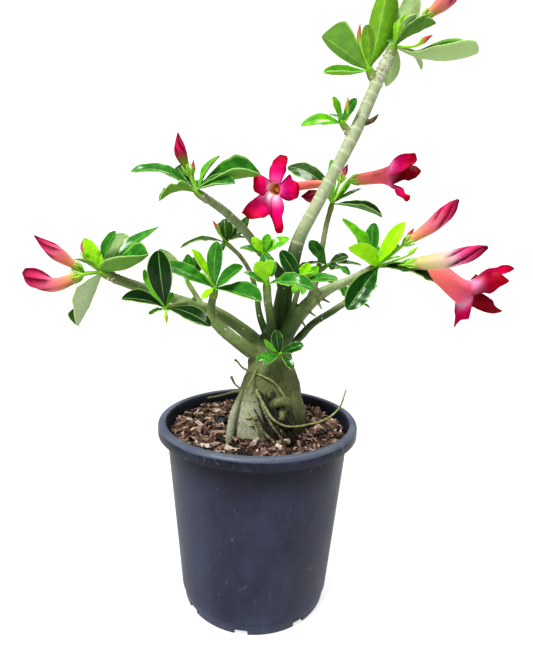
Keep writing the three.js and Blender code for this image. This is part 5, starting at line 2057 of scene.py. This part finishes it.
@dataclass
class Flowers(Workshop):
    """The furled buds and the open flowers."""

    bud_profile: tuple[float, ...] = (0.34, 0.5, 0.66, 0.84, 1, 0.94, 0.68, 0.36, 0.06)
    blunt_profile: tuple[float, ...] = (0.42, 0.52, 0.58, 0.63, 0.74, 0.9, 1, 0.9, 0.36)
    stout_profile: tuple[float, ...] = (0.42, 0.74, 0.86, 0.93, 0.97, 1, 0.95, 0.68, 0.16)
    late_profile: tuple[float, ...] = (0.36, 0.52, 0.64, 0.76, 0.9, 1, 0.97, 0.7, 0.12)
    soften: tuple[float, ...] = (0.08, 0.14, 0.18, 0.2, 0.18, 0.14, 0.08)
    furled_from: float = 0.44
    folds: int = 5
    twist: float = 0.42
    fold_depth: float = 0.17
    bud_rows: int = 60
    bud_columns: int = 71
    bud_samples: int = 200
    anther_rows: int = 12
    anther_columns: int = 31
    tube_rows: int = 28
    petal_rows: int = 30
    petal_columns: int = 13
    wall: float = 0.65
    flare: float = 0.04
    joined_share: float = 0.16
    arc_share: float = 0.52

    def rings(self, line: Array, radii: Array, turn: Array) -> Array:
        """Rings of points round a line.

        Args:
            line: Samples of x, y and z.
            radii: For each ring, the radius at each of its points.
            turn: The angle of each point of a ring.

        Returns:
            The points.
        """
        _, across, up = frames_along(line)
        circle = across[:, None] * np.cos(turn)[None, :, None] + up[:, None] * np.sin(turn)[None, :, None]
        return line[:, None, :3] + circle * radii[..., None]

    @staticmethod
    def hanging(points: Array, line: Array, run: Array) -> Array:
        """Finds the side of a tube that hangs down, fading out along the tube.

        Args:
            points: The tube's points.
            line: Its middle.
            run: Shares of its length.

        Returns:
            How far each point is on that side.
        """
        out = points - line[:, None, :3]
        down = -out[..., 2] / np.maximum(np.linalg.norm(out, axis=2), 1e-6)
        return 0.5 * eased(down, 0.15, 0.95) * (1 - eased(run, 0.3, 0.62))[:, None]

    def bud(self, name: str, plan: BudPlan) -> None:
        """Builds a furled bud, its petals rolled round each other in a spiral.

        Args:
            name: The CAD node that the bud stands for.
            plan: The bud.
        """
        profile = getattr(self, f"{plan.form}_profile")
        run = crowded(self.bud_rows, 1.15)
        fine = evened(smooth_line(plan.axis, 20), self.bud_samples)
        line = np.column_stack([read_along(run, column) for column in fine.T])
        swell = read_along(run, profile)
        swell = np.convolve(np.pad(swell, 3, mode="edge"), self.soften, mode="valid")
        swell[-1] *= 0.5
        turn = np.linspace(0, 2 * np.pi, self.bud_columns)
        furled = eased(run, self.furled_from - 0.06, self.furled_from + 0.14)[:, None]
        place = (turn[None, :] / (2 * np.pi) + self.twist * run[:, None]) * self.folds
        inside = place - np.floor(place)
        ribs = 1 + 0.03 * np.cos(self.folds * turn)[None, :] * (1 - furled)
        radii = plan.radius * swell[:, None] * (1 - self.fold_depth * furled * inside) * ribs
        points = self.rings(line, radii, turn)
        points[:, -1] = points[:, 0]
        made = self.sheet(f"flower_{name}", points)
        runs = np.broadcast_to(run[:, None], inside.shape)
        rim = eased(inside, 0.3, 0.95) * furled
        deep = plan.darkness * eased(runs, 0.3, 1.0) + 0.5 * eased(runs, 0.86, 1.0)
        self.marked(made, run=runs, rim=rim, deep=deep, under=self.hanging(points, line, run))
        self.welded(made, close=True)
        self.finished(self.dressed(made, getattr(self.palette, plan.finish)), Slot.FLOWER, [name])

    def bloom(self, name: str, plan: BloomPlan) -> None:
        """Builds an open flower. Each petal and its strip of the tube is one sheet, welded to the next one.

        Args:
            name: The CAD node that the flower stands for.
            plan: The flower.
        """
        base, middle, mouth = (np.array(place, float) for place in plan.axis)
        facing = unit(plan.looks)
        path = [base, middle, mouth - facing * plan.radius * 0.8, mouth]
        line = evened(smooth_line(path, 14), self.tube_rows)
        _, across, up = frames_along(line)
        turns = []
        for petal in plan.petals:
            reach = np.asarray(petal.tip, float) - mouth
            turns.append(math.atan2(np.dot(reach, up[-1]), np.dot(reach, across[-1])) % (2 * math.pi))
        count = len(turns)
        order = sorted(range(count), key=turns.__getitem__)
        sheets = []
        for k, chosen in enumerate(order):
            here = turns[chosen]
            before = turns[order[k - 1]] - (2 * math.pi if k == 0 else 0)
            after = turns[order[(k + 1) % count]] + (2 * math.pi if k == count - 1 else 0)
            span = ((before + here) / 2, (here + after) / 2)
            sheets.append(self.petal(plan, line, facing, plan.petals[chosen], span))
        flower = self.joined("corolla", sheets)
        self.welded(flower)
        self.dressed(flower, self.palette.petal_outer, self.palette.petal_inner)
        self.applied(flower, "SOLIDIFY", thickness=self.wall * MM, offset=0, material_offset=1,
                          material_offset_rim=1)
        made = self.joined(f"flower_{name}", [flower, self.anthers(plan, line)])
        self.finished(made, Slot.FLOWER, [name])

    def anthers(self, plan: BloomPlan, line: Array) -> Piece:
        """The golden cone of anthers that closes the throat.

        Args:
            plan: The flower.
            line: The middle of the tube, from its foot to its mouth.

        Returns:
            The cone.
        """
        throat = slice(-self.anther_rows - 1, -1)
        part = line[throat]
        share = np.linspace(0, 1, len(part))
        turn = np.linspace(0, 2 * np.pi, self.anther_columns)
        ribs = 1 + 0.12 * np.cos(5 * turn)[None, :]
        run = np.linspace(0, 1, self.tube_rows)[throat]
        room = read_along(run, plan.tube) * 0.8
        radii = plan.radius * plan.mouth * (room * np.sqrt(1 - share**2.6) + 0.03)[:, None] * ribs
        points = self.rings(part, radii, turn)
        points[:, -1] = points[:, 0]
        cone = self.sheet("anthers", points)
        runs = np.broadcast_to(0.28 + 0.1 * share[:, None], radii.shape)
        self.marked(cone, run=runs, rim=0.0, deep=0.0, under=0.0)
        self.welded(cone)
        return self.dressed(cone, self.palette.petal_inner)

    def petal(self, plan: BloomPlan, line: Array, facing: Array, petal: PetalPlan,
              span: tuple[float, float]) -> Piece:
        """One petal with the strip of the tube below it.

        Args:
            plan: The flower.
            line: The middle of the tube, from its foot to its mouth.
            facing: Where the mouth looks.
            petal: The petal.
            span: The angles between which the strip goes round the tube.

        Returns:
            Its sheet.
        """
        run = np.linspace(0, 1, self.tube_rows)
        turn = np.linspace(*span, self.petal_columns)
        swell = read_along(run, plan.tube) * plan.mouth * (1 + self.flare * eased(run, 0.82, 1.0))
        ribbed = eased(run, 0.2, 0.7) * (1 - eased(run, 0.8, 1))
        ribs = 1 + 0.04 * np.cos(5 * turn)[None, :] * ribbed[:, None]
        strip = self.rings(line, (plan.radius - self.wall / 2) * swell[:, None] * ribs, turn)
        mouth = line[-1]
        circle = strip[-1] - mouth
        circle /= np.linalg.norm(circle, axis=1)[:, None]
        reach = np.asarray(petal.tip, float) - mouth
        out = unit(reach - facing * np.dot(reach, facing))
        root = mouth + out * (plan.radius * plan.mouth - 1.1) - facing * 1.0
        from_front = np.dot(unit(petal.face), VIEW) > 0
        edges = tuple((s, a, b) if from_front else (s, b, a) for s, a, b in petal.edges)
        blade = Blade(petal.tip, 1, petal.face, petal.bow, -6, MID, Form(edges=edges, wave=0.2), 1.3,
                      sum(petal.tip), pucker=0.7, pucker_mm=4.5)
        blades = blade.points(root, self.petal_rows, self.petal_columns)
        middle = blades[self.petal_rows // 2]
        round_way = np.cross(facing, out)
        if np.dot(middle[-1] - middle[0], round_way) < 0:
            blades = blades[:, ::-1]
        length = np.linalg.norm(np.asarray(petal.tip, float) - root)
        spread = crowded(self.petal_rows)
        outward = (circle * 0.75 + facing * 0.55)[None]
        start = strip[-1][None] + outward * (spread[:, None, None] * length * 0.6)
        share = eased(spread, self.joined_share, self.arc_share)[:, None, None]
        lobe = start * (1 - share) + blades * share
        points = np.concatenate([strip, lobe[1:]])
        runs = np.concatenate([run * 0.5, 0.5 + 0.5 * spread[1:]])
        side = np.abs(np.linspace(-1, 1, self.petal_columns))[None]
        rim = np.maximum(eased(side, 0.66, 1.0) * eased(runs, 0.52, 0.6)[:, None],
                         eased(runs, 0.9, 1.0)[:, None])
        under = np.zeros(points.shape[:2])
        under[: self.tube_rows] = self.hanging(strip, line, run)
        deep = np.broadcast_to((petal.depth * eased(runs, 0.52, 0.7))[:, None], under.shape)
        bleach = petal.pale * (eased(runs, 0.47, 0.52) * (1 - eased(runs, 0.57, 0.73)))[:, None]
        bleach = bleach * (1 - 0.8 * side**2)
        sheet = self.sheet("petal", points)
        run_of_points = np.repeat(runs, self.petal_columns)
        return self.marked(sheet, run=run_of_points, rim=rim, deep=deep, under=under, bleach=bleach)

    def build(self) -> None:
        """Builds every bud and flower."""
        for name, bud_plan in BUDS.items():
            self.bud(name, bud_plan)
        for name, bloom_plan in BLOOMS.items():
            self.bloom(name, bloom_plan)


@dataclass
class Studio:
    """The camera, the pale floor and the soft light."""

    eye: Point = (5.4, -399.5, 312.4)
    down_degrees: float = 9.24
    roll_degrees: float = 1.54
    focal_px: float = 466.09
    image_px: tuple[int, int] = (533, 649)
    sensor: float = 36.0
    floor_size: float = 2.6

    def camera(self) -> None:
        """Sets the camera as the photograph has it."""
        data = bpy.data.cameras.new("camera")
        data.sensor_width = self.sensor
        data.lens = self.focal_px * self.sensor / max(self.image_px)
        data.clip_start = 0.01
        made = placed("camera", data)
        look = Matrix.Rotation(math.radians(90 - self.down_degrees), 4, "X")
        roll = Matrix.Rotation(math.radians(self.roll_degrees), 4, "Z")
        made.matrix_world = Matrix.Translation(Vector(self.eye) * MM) @ look @ roll
        bpy.context.scene.camera = made

    def floor(self) -> None:
        """Lays a pale studio floor."""
        made = added(bpy.ops.mesh.primitive_plane_add, size=self.floor_size)
        made.name = "studio_floor"
        material = bpy.data.materials.new("pale studio floor")
        material.use_nodes = True
        feed(material.node_tree.nodes["Principled BSDF"], {
            "Base Color": linear("#888888"), "Roughness": 0.9, "Emission Color": linear("#ffffff"),
            "Emission Strength": 0.62,
        })
        made.data.materials.append(material)

    def light(self) -> None:
        """Lights the plant softly from the upper left and from above, and whitens the surroundings."""
        world = bpy.data.worlds.new("studio")
        world.use_nodes = True
        tree = world.node_tree
        path = add_node(tree, "ShaderNodeLightPath").outputs["Is Camera Ray"]
        strength = add_node(tree, "ShaderNodeMapRange", {"Value": path, "To Min": 0.27, "To Max": 1.05})
        feed(tree.nodes["Background"], {"Strength": strength.outputs[0], "Color": (1, 1, 1, 1)})
        bpy.context.scene.world = world
        for name, place, spread, strength in (
            ("key", (-0.55, -0.75, 1.2), 18.0, 3.2),
            ("top", (0.35, 0.35, 1.5), 28.0, 2.2),
        ):
            data = bpy.data.lights.new(name, "SUN")
            data.angle = math.radians(spread)
            data.energy = strength
            made = placed(name, data)
            made.location = place
            made.rotation_euler = (-Vector(place)).to_track_quat("-Z", "Y").to_euler()

    def build(self) -> None:
        """Sets the studio up."""
        self.camera()
        self.floor()
        self.light()
        bpy.context.scene.view_settings.view_transform = "Standard"
        bpy.context.scene.view_settings.look = "Medium High Contrast"


def main() -> None:
    """Builds the plant round its CAD model, piece by piece."""
    logging.basicConfig(level=logging.INFO, format="%(message)s")
    Studio().build()
    palette = Palette()
    pot = NurseryPot(palette)
    pot.build()
    BarkMix(palette, pot).build()
    WoodyPlant(palette).build()
    Foliage(palette).build()
    Flowers(palette).build()


if __name__ == "__main__":
    main()
